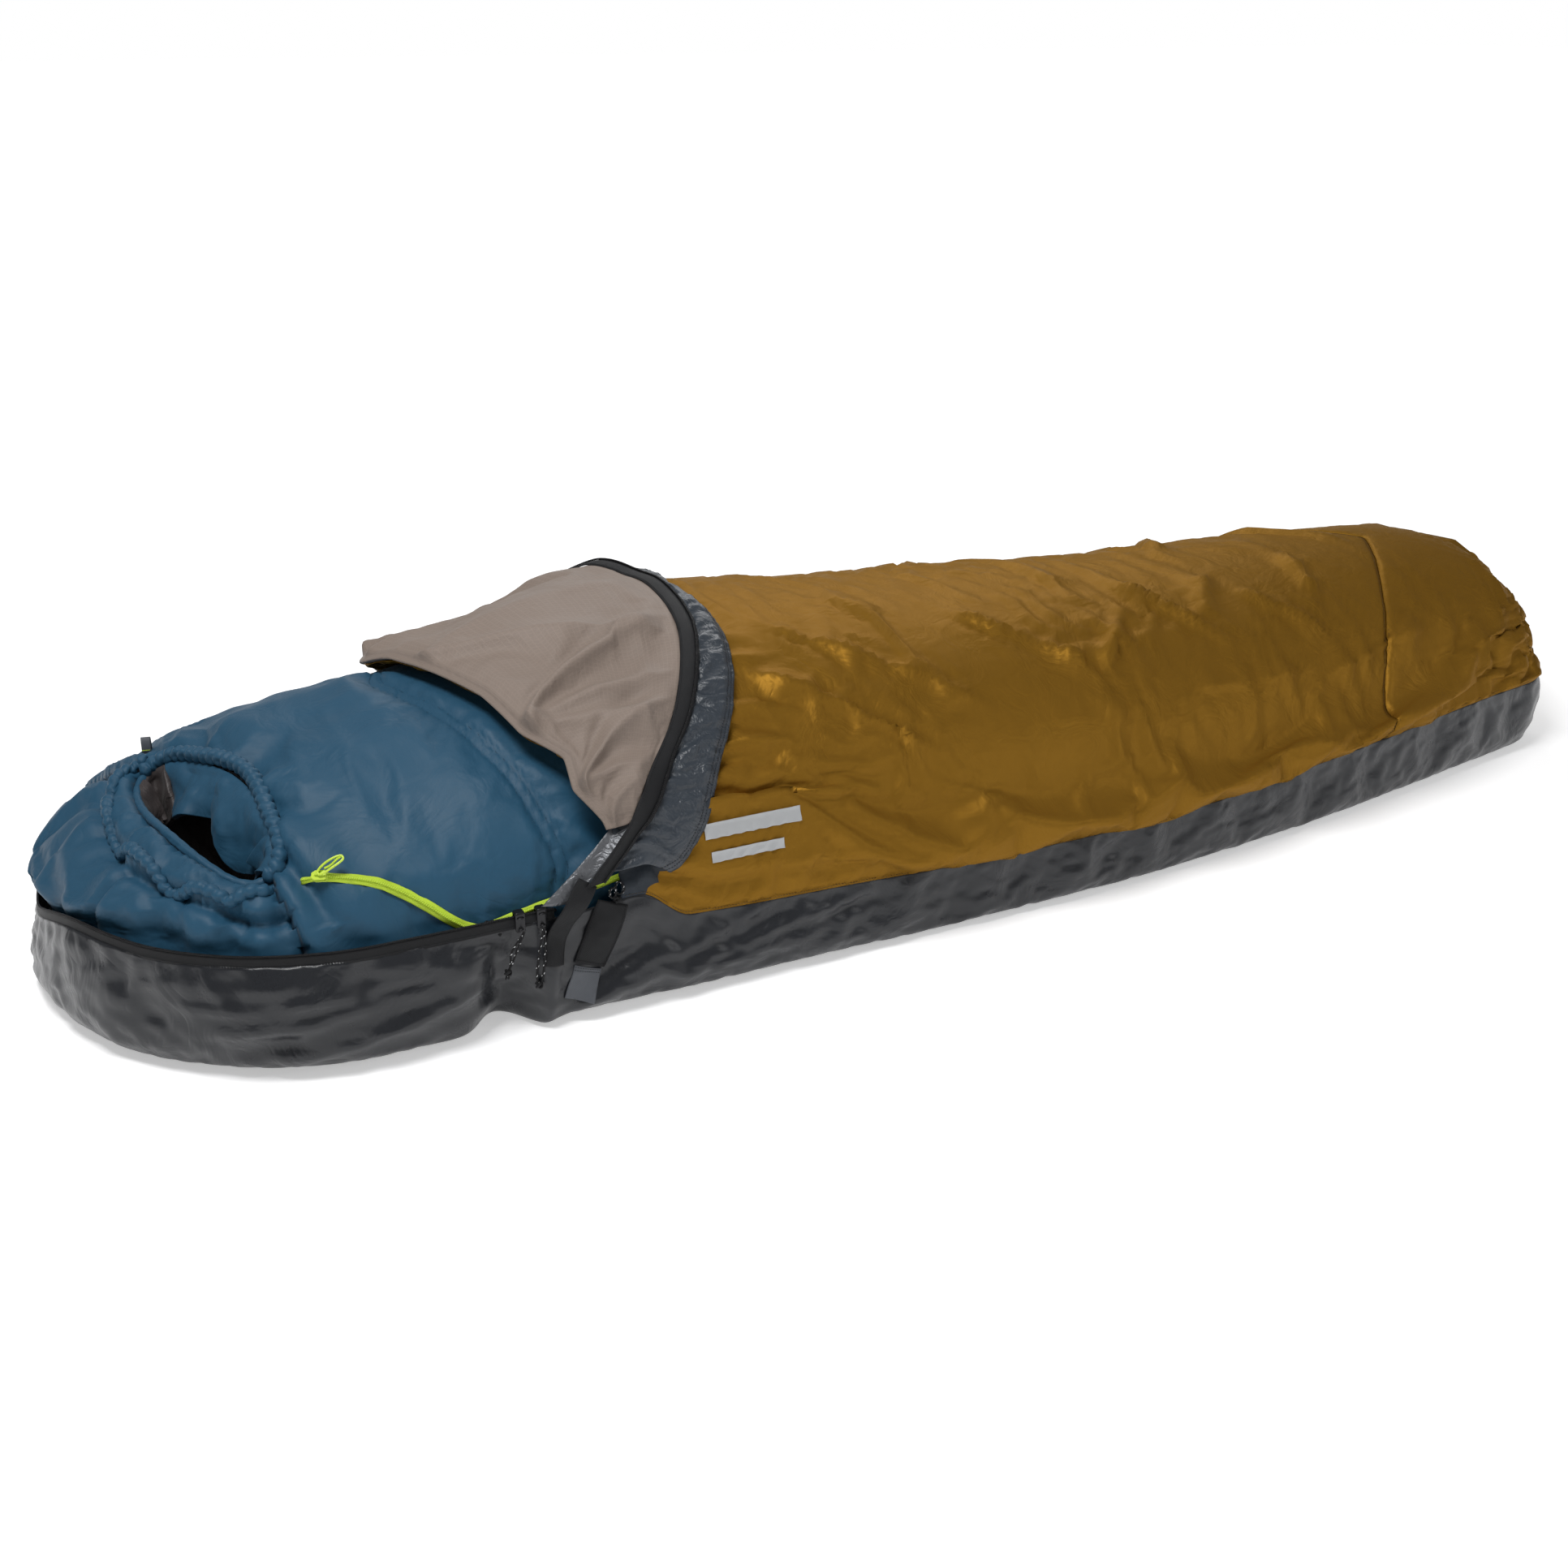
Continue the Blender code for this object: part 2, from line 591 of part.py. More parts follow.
# ------------------------------------------------------------------ pole pockets on the tub wall
# points are (x, z) on the wall
POCKET_TOP, POCKET_LOW = Vector((-0.5015, 0.1375)), Vector((-0.532, 0.0675))
TAB_TOP, TAB_LOW = POCKET_LOW + Vector((-0.0024, -0.0046)), Vector((-0.5465, 0.0270))
POCKET_WIDTH, POCKET_THICKNESS = 0.038, 0.0022
TAB_WIDTH, TAB_THICKNESS = 0.034, 0.0012
WALL_Y = SHOULDER_HALF + 0.0012      # inner face of pocket and tab
POCKET_CORD_LOW = POCKET_TOP + Vector((0.0035, 0.0050))
POCKET_CORD_Y, POCKET_CORD_HALF_WIDTH, POCKET_CORD_HALF_HEIGHT = 0.3535, 0.0045, 0.0085


def wall_box(name, top, low, width, thickness, side, material):
    """A flat box on the tub wall, its long axis from low to top."""
    along = (top - low).normalized()
    centre = (top + low) / 2
    u_axis = Vector((along.y, 0, -along.x))
    v_axis = Vector((along.x, 0, along.y))
    origin = (centre.x, side * (WALL_Y + thickness / 2), centre.y)
    placement = frame_matrix(origin, u_axis, v_axis, u_axis.cross(v_axis).normalized())
    prism(name, rectangle(width / 2, (top - low).length / 2), thickness, placement, material)


def pocket_cord(name, side):
    path = [Vector((POCKET_CORD_LOW.x + POCKET_CORD_HALF_WIDTH * math.sin(angle),
                    side * POCKET_CORD_Y,
                    POCKET_CORD_LOW.y + POCKET_CORD_HALF_HEIGHT * (1 - math.cos(angle))))
            for angle in turn_angles(14)]
    tube(name, path, 0.0011, CORD, closed=True, up=Y_AXIS)


for side, tag in ((-1, "near"), (1, "far")):
    wall_box("pole_pocket_" + tag, POCKET_TOP, POCKET_LOW, POCKET_WIDTH, POCKET_THICKNESS,
             side, BLACK)
    wall_box("pocket_tab_" + tag, TAB_TOP, TAB_LOW, TAB_WIDTH, TAB_THICKNESS, side, GREY)
    pocket_cord("pocket_cord_" + tag, side)

# ------------------------------------------------------------------ plain reflective bars
BAR_LIFT = 0.0016


def bar_point(x, z):
    """Point just off the near side of the canopy at height z."""
    low, high = seam_z(x) + GAP, crest_z(x)
    return canopy(x, math.asin(((z - low) / (high - low)) ** (SECTION_POWER / 2)), BAR_LIFT)


# name, z range, x range
for name, z_range, x_range in (
        ("reflective_bar_upper", (0.182, 0.200), (-0.405, -0.275)),
        ("reflective_bar_lower", (0.155, 0.168), (-0.400, -0.300))):
    sheet(name, [[bar_point(x, z) for x in spread(5, *x_range)] for z in spread(3, *z_range)],
          0.0008, REFLECT)

# ------------------------------------------------------------------ sleeping bag
# x of the end tips and of the rings between them, before scaling to an inset length
BAG_XS = [
    -1.050, -1.044, -1.03, -1.01, -0.985, -0.955, -0.92, -0.88, -0.84, -0.80, -0.755, -0.70, -0.6,
    -0.45, -0.3, -0.12, 0.06, 0.24, 0.42, 0.6, 0.76, 0.88, 0.96, 1.0, 1.025, 1.04, 1.048,
]
MOUTH_TOOL_LOW, MOUTH_TOOL_HIGH, MOUTH_TOOL_SIDES = 0.115, 0.40, 24
HALF_SPACE_DEPTH = 3.0
SEAM_HALF_GAP = 0.0005       # body and hood each stop this far from their seam


def bag_solid(name, inset, material):
    x_low = -HALF_LENGTH + BAG_INSET + inset
    x_high = HALF_LENGTH - BAG_INSET - inset
    xs = [x_low + (x - BAG_XS[0]) / (BAG_XS[-1] - BAG_XS[0]) * (x_high - x_low) for x in BAG_XS]
    bm = bmesh.new()
    rings = [add_verts(bm, bag_ring(x, inset)) for x in xs[1:-1]]
    for first, second in zip(rings, rings[1:]):
        bridge(bm, first, second)
    for ring, x in ((rings[0], xs[0]), (rings[-1], xs[-1])):
        tip = bm.verts.new((x, 0, sum(v.co.z for v in ring) / BAG_SIDES))
        for k in range(BAG_SIDES):
            bm.faces.new((ring[k], ring[(k + 1) % BAG_SIDES], tip))
    return add_solid(name, bm, material)


def mouth_tool():
    """Upright elliptical block that opens the face opening."""
    ellipse = mouth_ring(MOUTH_HALF_LONG, MOUTH_HALF_SHORT, MOUTH_TOOL_SIDES)
    bm = bmesh.new()
    low = add_verts(bm, at_height(ellipse, MOUTH_TOOL_LOW))
    high = add_verts(bm, at_height(ellipse, MOUTH_TOOL_HIGH))
    bm.faces.new(low)
    bm.faces.new(high)
    bridge(bm, low, high)
    return as_tool(add_solid("bag_mouth_tool", bm, BLUE))


def half_space(name, sign):
    """A large box on one side of the seam between the bag's body and its hood."""
    centre = (MOUTH_CENTRE + Z_AXIS * BAG_AXIS_Z
              + MOUTH_SIDE * sign * (HALF_SPACE_DEPTH / 2 - SEAM_HALF_GAP))
    placement = frame_matrix(centre, MOUTH_DIR, Z_AXIS, MOUTH_SIDE)
    return as_tool(prism(name, rectangle(1.6, 1.0), HALF_SPACE_DEPTH, placement, BLUE))


cavity = as_tool(bag_solid("bag_cavity_tool", LOFT, BLUE))
mouth = mouth_tool()

for name, tool_name, sign in (("bag_shell", "bag_head_side_tool", -1),
                              ("bag_hood", "bag_foot_side_tool", 1)):
    part = bag_solid(name, 0.0, BLUE)
    part.data.shade_smooth()      # soft all over, without marked sharp edges
    combine(part, cavity)
    combine(part, mouth)
    combine(part, half_space(tool_name, sign))

lining = bag_solid("bag_lining", LINING_INSET, BROWN)
combine(lining, as_tool(bag_solid("bag_lining_tool", LINING_INNER_INSET, BROWN)))
combine(lining, mouth)

# hem tube just inside the mouth
HEM_INSET_LONG, HEM_INSET_SHORT, HEM_DROP = 0.0125, 0.0105, 0.004
hem_ring = mouth_ring(MOUTH_HALF_LONG - HEM_INSET_LONG, MOUTH_HALF_SHORT - HEM_INSET_SHORT, 28)
tube("bag_hem_tube", [Vector((p.x, p.y, bag_top(p.x, p.y) - HEM_DROP)) for p in hem_ring],
     [0.0072, 0.0080] * 14, BLUE, sides=8, closed=True)

# draft collar, a stuffed tube hanging under the shoulder edge of the mouth
COLLAR_CENTRE, COLLAR_HALF_LENGTH, COLLAR_DROP = Vector((-0.795, -0.11, 0)), 0.125, 0.006
COLLAR_RADII = [0.010, 0.017, 0.021, 0.023, 0.022, 0.023, 0.022, 0.023, 0.021, 0.017, 0.010]
collar_path = []
for share, radius in zip(spread(11), COLLAR_RADII):
    p = COLLAR_CENTRE + MOUTH_DIR * COLLAR_HALF_LENGTH * (1 - 2 * share)
    ceiling = bag_top(p.x, p.y, LINING_INNER_INSET)
    collar_path.append(Vector((p.x, p.y, ceiling - radius - COLLAR_DROP)))
tube("bag_draft_collar", collar_path, COLLAR_RADII, BLUE, sides=10)

# ------------------------------------------------------------------ bag zip
# (x, z) along the near flank, from the head end
ZIP_PATH = [
    (-0.815, 0.196), (-0.795, 0.195), (-0.775, 0.193), (-0.755, 0.190), (-0.735, 0.184),
    (-0.715, 0.174), (-0.695, 0.160), (-0.675, 0.144), (-0.655, 0.132), (-0.635, 0.131),
    (-0.61, 0.136), (-0.585, 0.140), (-0.56, 0.144), (-0.53, 0.148), (-0.50, 0.152),
    (-0.47, 0.156), (-0.44, 0.160),
]
# (side, lift off the flank) of the tape's two edges and middle
ZIP_TAPE_ROWS = ((-1, 0.0014), (0, 0.0016), (1, 0.0014))
ZIP_TAPE_HALF = 0.0055
ZIP_COIL_LIFT, ZIP_SLIDER_LIFT, ZIP_HINGE_LIFT = 0.0039, 0.0072, 0.0094
ZIP_SLIDER_THICKNESS = 0.0018
# (along the zip, across it)
ZIP_SLIDER_PROFILE = [
    (-0.0055, -0.0022), (-0.003, -0.0038), (0.0045, -0.0038), (0.0055, -0.003),
    (0.0055, 0.003), (0.0045, 0.0038), (-0.003, 0.0038), (-0.0055, 0.0022),
]
ZIP_PULL_HALF_WIDTH, ZIP_PULL_START, ZIP_PULL_LIFT = 0.0032, 0.0015, 0.0004


def zip_frames():
    """Point, outward normal, direction along and direction across at each zip station."""
    points = [bag_flank(x, z) for x, z in ZIP_PATH]
    frames = []
    for i, point in enumerate(points):
        normal = flank_normal(*ZIP_PATH[i])
        before, after = neighbours(points, i, closed=False)
        along = (after - before).normalized()
        frames.append((point, normal, along, normal.cross(along).normalized()))
    return frames


def flank_slider(name, pull_name, frame, pull_length, turn):
    """Slider body over the coil, and its wire pull turned away from the zip's direction."""
    point, normal, along, _ = frame
    normal = (normal - normal.dot(along) * along).normalized()
    across = normal.cross(along).normalized()
    placement = frame_matrix(point + normal * ZIP_SLIDER_LIFT, along, across, normal)
    prism(name, ZIP_SLIDER_PROFILE, ZIP_SLIDER_THICKNESS, placement, LIME)
    hinge = point + normal * ZIP_HINGE_LIFT
    pull_dir = (math.cos(turn) * along + math.sin(turn) * across).normalized()
    pull_side = normal.cross(pull_dir).normalized()
    path = [hinge + pull_dir * (pull_length / 2 * (1 - math.cos(angle)) + ZIP_PULL_START)
            + pull_side * ZIP_PULL_HALF_WIDTH * math.sin(angle) + normal * ZIP_PULL_LIFT
            for angle in turn_angles(14)]
    tube(pull_name, path, 0.0010, LIME, closed=True, up=normal)


frames = zip_frames()
sheet("bag_zip_tape",
      [[point + normal * lift + side * across * ZIP_TAPE_HALF
        for point, normal, _, across in frames] for side, lift in ZIP_TAPE_ROWS],
      0.0008, LIME)
tube("bag_zip_coil", [point + normal * ZIP_COIL_LIFT for point, normal, _, _ in frames],
     0.0011, LIME, sides=5)
flank_slider("bag_slider", "bag_pull", frames[1], 0.022, math.radians(35))
flank_slider("bag_slider_lower", "bag_pull_lower", frames[12], 0.020, math.radians(20))

# ------------------------------------------------------------------ drawcord, cord lock, hang loop
# the cord starts at the far end of the mouth and lies over the bag
CORD_ORIGIN = MOUTH_CENTRE - MOUTH_DIR * (MOUTH_HALF_LONG + 0.004)
CORD_DIR = Vector((-0.80, 0.60, 0)).normalized()
CORD_START, CORD_LENGTH, CORD_LIFT = 0.004, 0.048, 0.0075
LOCK_DISTANCE = 0.012        # cord lock from the start of the cord
# (along the cord, radius) of the lock's hollow section
LOCK_PROFILE = [(-0.0065, 0.0042), (-0.0050, 0.0052), (0.0050, 0.0052),
                (0.0065, 0.0042), (0.0065, 0.0018), (-0.0065, 0.0018)]
HANG_LOOP_OFFSET_X, HANG_LOOP_OFFSET_Y = -0.030, 0.215   # from the mouth's centre
HANG_LOOP_HALF_WIDTH, HANG_LOOP_HALF_HEIGHT, HANG_LOOP_LIFT = 0.006, 0.009, 0.0030


def cord_point(distance):
    p = CORD_ORIGIN + CORD_DIR * distance
    return Vector((p.x, p.y, bag_top(p.x, p.y) + CORD_LIFT))


def cord_lock(centre, axis):
    """The lock's section revolved about the cord."""
    across = axis.cross(Z_AXIS).normalized()
    rise = across.cross(axis).normalized()
    bm = bmesh.new()
    rings = []
    for angle in turn_angles(12):
        outward = math.cos(angle) * across + math.sin(angle) * rise
        rings.append(add_verts(bm, [centre + axis * distance + outward * radius
                                    for distance, radius in LOCK_PROFILE]))
    for first, second in zip(rings, rings[1:] + rings[:1]):
        bridge(bm, first, second)
    add_solid("bag_cordlock", bm, METAL)


def hang_loop():
    x, y = MOUTH_CENTRE.x + HANG_LOOP_OFFSET_X, MOUTH_CENTRE.y + HANG_LOOP_OFFSET_Y
    low = bag_top(x, y) + HANG_LOOP_LIFT
    path = [Vector((x - HANG_LOOP_HALF_WIDTH * math.sin(angle), y,
                    low + HANG_LOOP_HALF_HEIGHT * (1 - math.cos(angle))))
            for angle in turn_angles(12)]
    tube("bag_hang_loop", path, 0.0020, GREY, closed=True, up=Y_AXIS)


cord_start = cord_point(CORD_START)
cord_axis = (cord_point(CORD_START + CORD_LENGTH) - cord_start).normalized()
tube("bag_drawcord", [cord_start + cord_axis * CORD_LENGTH * share for share in spread(5)],
     0.0012, CORD)
cord_lock(cord_start + cord_axis * LOCK_DISTANCE, cord_axis)
hang_loop()
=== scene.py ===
"""Bivy sack with a sleeping bag packed in it: cloth, materials, light and camera.

Metres, +Z up. The sack lies on the floor (z = 0) along X, head at -X and foot at +X. The near
side is -Y, the far side +Y. Its hood is folded back towards the foot, so that the sleeping
bag's head and mouth show. A section angle runs from 0 on the near side over the crest to pi on
the far side. Sheets are grids: rows usually run towards the foot, columns near to far.
"""
import bpy
import bmesh
import math
import json
import numpy as np
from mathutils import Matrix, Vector
from mathutils.bvhtree import BVHTree

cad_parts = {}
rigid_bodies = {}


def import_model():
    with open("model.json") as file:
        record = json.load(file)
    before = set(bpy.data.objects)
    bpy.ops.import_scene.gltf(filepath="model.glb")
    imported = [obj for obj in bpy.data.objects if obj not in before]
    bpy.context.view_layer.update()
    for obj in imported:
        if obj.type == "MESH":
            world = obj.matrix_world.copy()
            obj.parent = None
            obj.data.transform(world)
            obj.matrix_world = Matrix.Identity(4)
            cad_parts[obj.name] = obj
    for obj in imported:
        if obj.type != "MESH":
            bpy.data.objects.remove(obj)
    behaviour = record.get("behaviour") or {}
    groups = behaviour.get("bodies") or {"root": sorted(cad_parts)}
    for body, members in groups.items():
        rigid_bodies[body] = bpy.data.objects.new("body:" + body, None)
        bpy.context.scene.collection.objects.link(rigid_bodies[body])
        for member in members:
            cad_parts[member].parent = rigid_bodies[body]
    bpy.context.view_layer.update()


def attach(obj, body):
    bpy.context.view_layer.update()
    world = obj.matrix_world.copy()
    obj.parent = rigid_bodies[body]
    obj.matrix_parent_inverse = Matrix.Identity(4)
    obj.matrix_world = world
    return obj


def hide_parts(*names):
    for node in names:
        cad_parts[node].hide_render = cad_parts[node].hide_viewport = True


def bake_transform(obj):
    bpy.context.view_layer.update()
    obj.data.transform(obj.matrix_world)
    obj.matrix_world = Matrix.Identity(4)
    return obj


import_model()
CAD_NAMES = {o.name for o in bpy.data.objects}
SCENE = bpy.context.scene

# ------------------------------------------------------------------ driving dimensions, as in CAD
SHOULDER_HALF = 0.350                     # half width at the shoulders
FOOT_TAPER, TAPER_START, TAPER_RUN, TAPER_POWER = 0.125, 0.10, 0.90, 1.6
HEAD_ARC_X, HEAD_ARC_LEN = -0.755, 0.31   # start and length of the round head end
FOOT_ARC_X, FOOT_ARC_LEN, FOOT_ARC_POWER = 0.975, 0.09, 2.6
SECTION_POWER = 2.2                       # superellipse power of the sack's section
ROUND = 2 / SECTION_POWER
RIM_Z = 0.132                             # tub rim round the head
RIM_END_X = -0.568                        # where the zip on the rim ends

# (x, z) stations: side seam, sack crest, sleeping bag crest
SEAM = [(-1.065, 0.132), (-0.565, 0.132), (-0.47, 0.139), (-0.41, 0.101), (-0.2, 0.093),
        (0.0, 0.086), (0.3, 0.087), (0.6, 0.100), (0.9, 0.109), (1.065, 0.109)]
CREST = [(-0.72, 0.290), (-0.6, 0.327), (-0.45, 0.355), (-0.3, 0.360), (-0.05, 0.336),
         (0.2, 0.318), (0.45, 0.306), (0.7, 0.306), (0.92, 0.302), (0.98, 0.304), (1.065, 0.236)]
BAG_CREST = [(-1.05, 0.140), (-1.01, 0.182), (-0.97, 0.205), (-0.89, 0.244), (-0.81, 0.268),
             (-0.72, 0.288), (-0.6, 0.314), (-0.45, 0.340), (-0.3, 0.346), (-0.05, 0.322),
             (0.2, 0.304), (0.45, 0.292), (0.7, 0.292), (0.90, 0.288), (0.97, 0.276),
             (1.048, 0.190)]

HOOD_PIVOT_X, HOOD_PIVOT_Z = -0.565, 0.130
ARCH_ANGLE = math.radians(43.0)           # plane of the hood's edge, up from the floor
ARCH_OFF = 0.015                          # hood edge above the canopy
FOLD_CREST_X, FOLD_SIDE_X = -0.615, -0.50
# the hood's fold line, straight between corners: (section angle in degrees, x)
FOLD_CORNERS = [(0, -0.500), (14, -0.498), (22, -0.505), (32, -0.528), (41, -0.526),
                (51, -0.560), (66, -0.580), (84, -0.622), (99, -0.662), (118, -0.640),
                (138, -0.592), (154, -0.545), (180, -0.500)]
FAN_CORNERS = [math.radians(c) for c in (22, 32, 51, 84, 99, 118, 138)]

BAG_INSET, BAG_AXIS_Z, BAG_BOTTOM_Z = 0.014, 0.100, 0.0045
BAG_TOP_POWER, BAG_LOW_POWER = 2.4, 3.0
BAFFLE_BACK, BAFFLE_GAP = 0.052, 0.014    # two shell seams headwards of the fold, and their gap
MOUTH_C = np.array([-0.885, -0.120])      # the bag's elliptic mouth, in plan
MOUTH_A, MOUTH_B = 0.145, 0.048           # its half axes
MOUTH_DIR = np.array([0.272, -0.962]) / math.hypot(0.272, 0.962)
MOUTH_SIDE = np.array([0.962, 0.272]) / math.hypot(0.272, 0.962)
HOOD_LINE = 0.036                         # from the mouth's edge to the bag hood's hem


# ------------------------------------------------------------------ arithmetic
def points(x, y=0.0, z=0.0):
    """(..., 3) array from coordinates that broadcast together."""
    return np.stack(np.broadcast_arrays(x, y, z), -1)


def unit(v, guard=1e-12):
    return v / (np.linalg.norm(v, axis=-1, keepdims=True) + guard)


def tangents(path):
    return unit(np.gradient(path, axis=0))


def ease(t):
    t = np.clip(t, 0, 1)
    return t * t * (3 - 2 * t)


def smooth(a, b, x):
    """0 at a, 1 at b, eased between; a may be larger than b."""
    return ease((np.asarray(x, float) - a) / (b - a))


def table(stations, x):
    """Smooth value at x through (x, value) stations, flat beyond the ends."""
    sx, sv = np.array([s[0] for s in stations]), np.array([s[1] for s in stations])
    slope = np.diff(sv) / np.diff(sx)
    m = np.zeros(len(sx))
    m[0], m[-1] = slope[0], slope[-1]
    for i in range(1, len(sx) - 1):
        a, b = slope[i - 1], slope[i]
        m[i] = 0.0 if a * b <= 0 else 2 * a * b / (a + b)
    x = np.clip(np.asarray(x, float), sx[0], sx[-1])
    k = np.clip(np.searchsorted(sx, x, side="right") - 1, 0, len(sx) - 2)
    h = sx[k + 1] - sx[k]
    t = (x - sx[k]) / h
    return ((2 * t ** 3 - 3 * t ** 2 + 1) * sv[k] + (t ** 3 - 2 * t ** 2 + t) * h * m[k]
            + (-2 * t ** 3 + 3 * t ** 2) * sv[k + 1] + (t ** 3 - t ** 2) * h * m[k + 1])


def relax(values, passes):
    """Smooths along the first axis in place, with the ends held."""
    for _ in range(passes):
        values[1:-1] = (values[:-2] + 2 * values[1:-1] + values[2:]) / 4


def run_length(path):
    return np.concatenate([[0], np.cumsum(np.linalg.norm(np.diff(path, axis=0), axis=1))])


def interp_rows(at, along, rows):
    return np.stack([np.interp(at, along, rows[:, k]) for k in range(rows.shape[1])], 1)


def resample(path, step=None, count=None):
    """Evenly spaced points along path."""
    path = np.asarray(path, float)
    along = run_length(path)
    count = count or max(2, int(round(along[-1] / step)) + 1)
    return interp_rows(np.linspace(0, along[-1], count), along, path)


def spline(knots, count):
    """Catmull-Rom curve through the knots."""
    P = np.asarray(knots, float)
    P = np.vstack([2 * P[0] - P[1], P, 2 * P[-1] - P[-2]])
    out = []
    for t in np.linspace(0, len(P) - 3 - 1e-9, count):
        i = int(t)
        f = t - i
        a, b, c, d = P[i:i + 4]
        out.append(0.5 * (2 * b + (c - a) * f + (2 * a - 5 * b + 4 * c - d) * f ** 2
                          + (-a + 3 * b - 3 * c + d) * f ** 3))
    return np.array(out)


def sheet_normals(P):
    """Unit normals of a grid; outward where rows run footwards and columns near to far."""
    return unit(np.cross(np.gradient(P, axis=0), np.gradient(P, axis=1)))


def limit_shift(start, moved, limit):
    """The moved points, brought back to within limit of where they started."""
    shift = moved - start
    size = np.linalg.norm(shift, axis=-1)
    return start + shift * np.minimum(1.0, limit / np.maximum(size, 1e-9))[..., None]


# ------------------------------------------------------------------ noise, in metres
def lattice_hash(i, j, k, seed):
    h = (i * 374761393 + j * 668265263 + k * 2147483647 + seed * 974634777) & 0xFFFFFFFF
    h = ((h ^ (h >> 13)) * 1274126177) & 0xFFFFFFFF
    h = ((h ^ (h >> 16)) * 2246822519) & 0xFFFFFFFF
    return (h ^ (h >> 15)) / 4294967295.0 * 2 - 1


def value_noise(p, seed=0):
    p = np.asarray(p, float)
    floor = np.floor(p)
    t = p - floor
    t = t * t * t * (t * (t * 6 - 15) + 10)
    i, j, k = (floor[..., axis].astype(np.int64) for axis in range(3))
    out = 0.0
    for a in (0, 1):
        for b in (0, 1):
            for c in (0, 1):
                weight = ((t[..., 0] if a else 1 - t[..., 0])
                          * (t[..., 1] if b else 1 - t[..., 1])
                          * (t[..., 2] if c else 1 - t[..., 2]))
                out = out + weight * lattice_hash(i + a, j + b, k + c, seed)
    return out


def fbm(p, octaves, seed):
    """Soft layered noise."""
    out, size = 0.0, 1.0
    for o in range(octaves):
        out = out + size * value_noise(p * (2.03 ** o), seed + 17 * o)
        size *= 0.5
    return out / 1.75


def ridge(p, octaves, seed):
    """Layered noise with sharp ridges."""
    out, size = 0.0, 1.0
    for o in range(octaves):
        out = out + size * (1 - np.abs(value_noise(p * (2.1 ** o), seed + 31 * o)) * 2.2)
        size *= 0.5
    return out / 1.5


# ------------------------------------------------------------------ form of the sack and the bag
def tapered(x, half):
    return half - FOOT_TAPER * (np.clip(x - TAPER_START, 0, None) / TAPER_RUN) ** TAPER_POWER


def half_width(x, inset=0.0):
    """Half width of the plan outline, rounded at both ends."""
    x = np.asarray(x, float)
    w = tapered(x, SHOULDER_HALF - inset)
    q = np.clip((HEAD_ARC_X - x) / (HEAD_ARC_LEN - inset), 0, 1)
    w = w * np.sqrt(1 - q * q)
    t = np.clip((x - FOOT_ARC_X) / (FOOT_ARC_LEN - inset), 0, 1)
    return np.clip(w * (1 - t ** FOOT_ARC_POWER) ** (1 / FOOT_ARC_POWER), 0, None)


def seam_z(x):
    return table(SEAM, x)


def crest_z(x):
    return table(CREST, x)


def shoulder(P):
    """The far shoulder lies lower than the near one round the head opening."""
    x, y, z = P[..., 0], P[..., 1], P[..., 2]
    k = 0.27 * ease((-0.24 - x) / 0.26) * np.clip((z - 0.135) / 0.10, 0, 1)
    drop = np.where(y > 0, np.sqrt(y * y + 0.03 ** 2) - 0.03, 0.0)
    return points(x, y, z - k * drop)


def canopy(x, angle, off=0.0):
    """Points on the sack's upper surface, moved out by off."""
    x, angle = np.broadcast_arrays(np.asarray(x, float), np.asarray(angle, float))
    off = np.broadcast_to(off, x.shape)
    w = half_width(x)
    w = np.where(w > 1e-6, w + off, 0.0)
    low, high = seam_z(x), crest_z(x) + off
    c, s = np.cos(angle), np.clip(np.sin(angle), 0, None)
    y = -w * np.sign(c) * np.abs(c) ** ROUND
    return shoulder(points(x, y, low + (high - low) * s ** ROUND))


def fold_x(angle):
    """x of the smooth fold line that the bag's shell seams follow."""
    s = np.abs(np.cos(angle)) ** ROUND
    return np.where(s <= 0.943, FOLD_CREST_X + (FOLD_SIDE_X - FOLD_CREST_X) * s / 0.943,
                    FOLD_SIDE_X - 0.014 * (s - 0.943) / 0.057)


def fold_line(angle):
    """x of the hood's fold, nearly straight between its corners."""
    angle = np.asarray(angle, float)
    a, b = [math.radians(c[0]) for c in FOLD_CORNERS], [c[1] for c in FOLD_CORNERS]
    return sum(np.interp(angle + d, a, b) for d in (-0.014, -0.007, 0.0, 0.007, 0.014)) / 5


def arch_x(angle):
    """x where the tilted plane of the hood's edge meets the canopy, found by halving."""
    angle = np.asarray(angle, float)
    low, high = np.full(angle.shape, -0.62), np.full(angle.shape, -0.05)
    for _ in range(40):
        mid = (low + high) / 2
        plane = HOOD_PIVOT_Z + (mid - HOOD_PIVOT_X) * math.tan(ARCH_ANGLE)
        above = canopy(mid, angle, ARCH_OFF)[..., 2] > plane
        low, high = np.where(above, mid, low), np.where(above, high, mid)
    far = (ease((angle - math.radians(108)) / math.radians(28))
           * ease((math.radians(172) - angle) / math.radians(22)))
    return (low + high) / 2 - 0.040 * far


def far_lift(angle):
    """The hood's edge stands up on the far side, where the cloth under it has sunk."""
    return (0.016 * ease((angle - math.radians(96)) / math.radians(16))
            * ease((math.radians(165) - angle) / math.radians(22)))


def rim_dip(x, y):
    """The rim sags on the far side of the head end."""
    return -0.052 * smooth(-0.17, 0.05, y) * smooth(-0.79, -0.92, x)


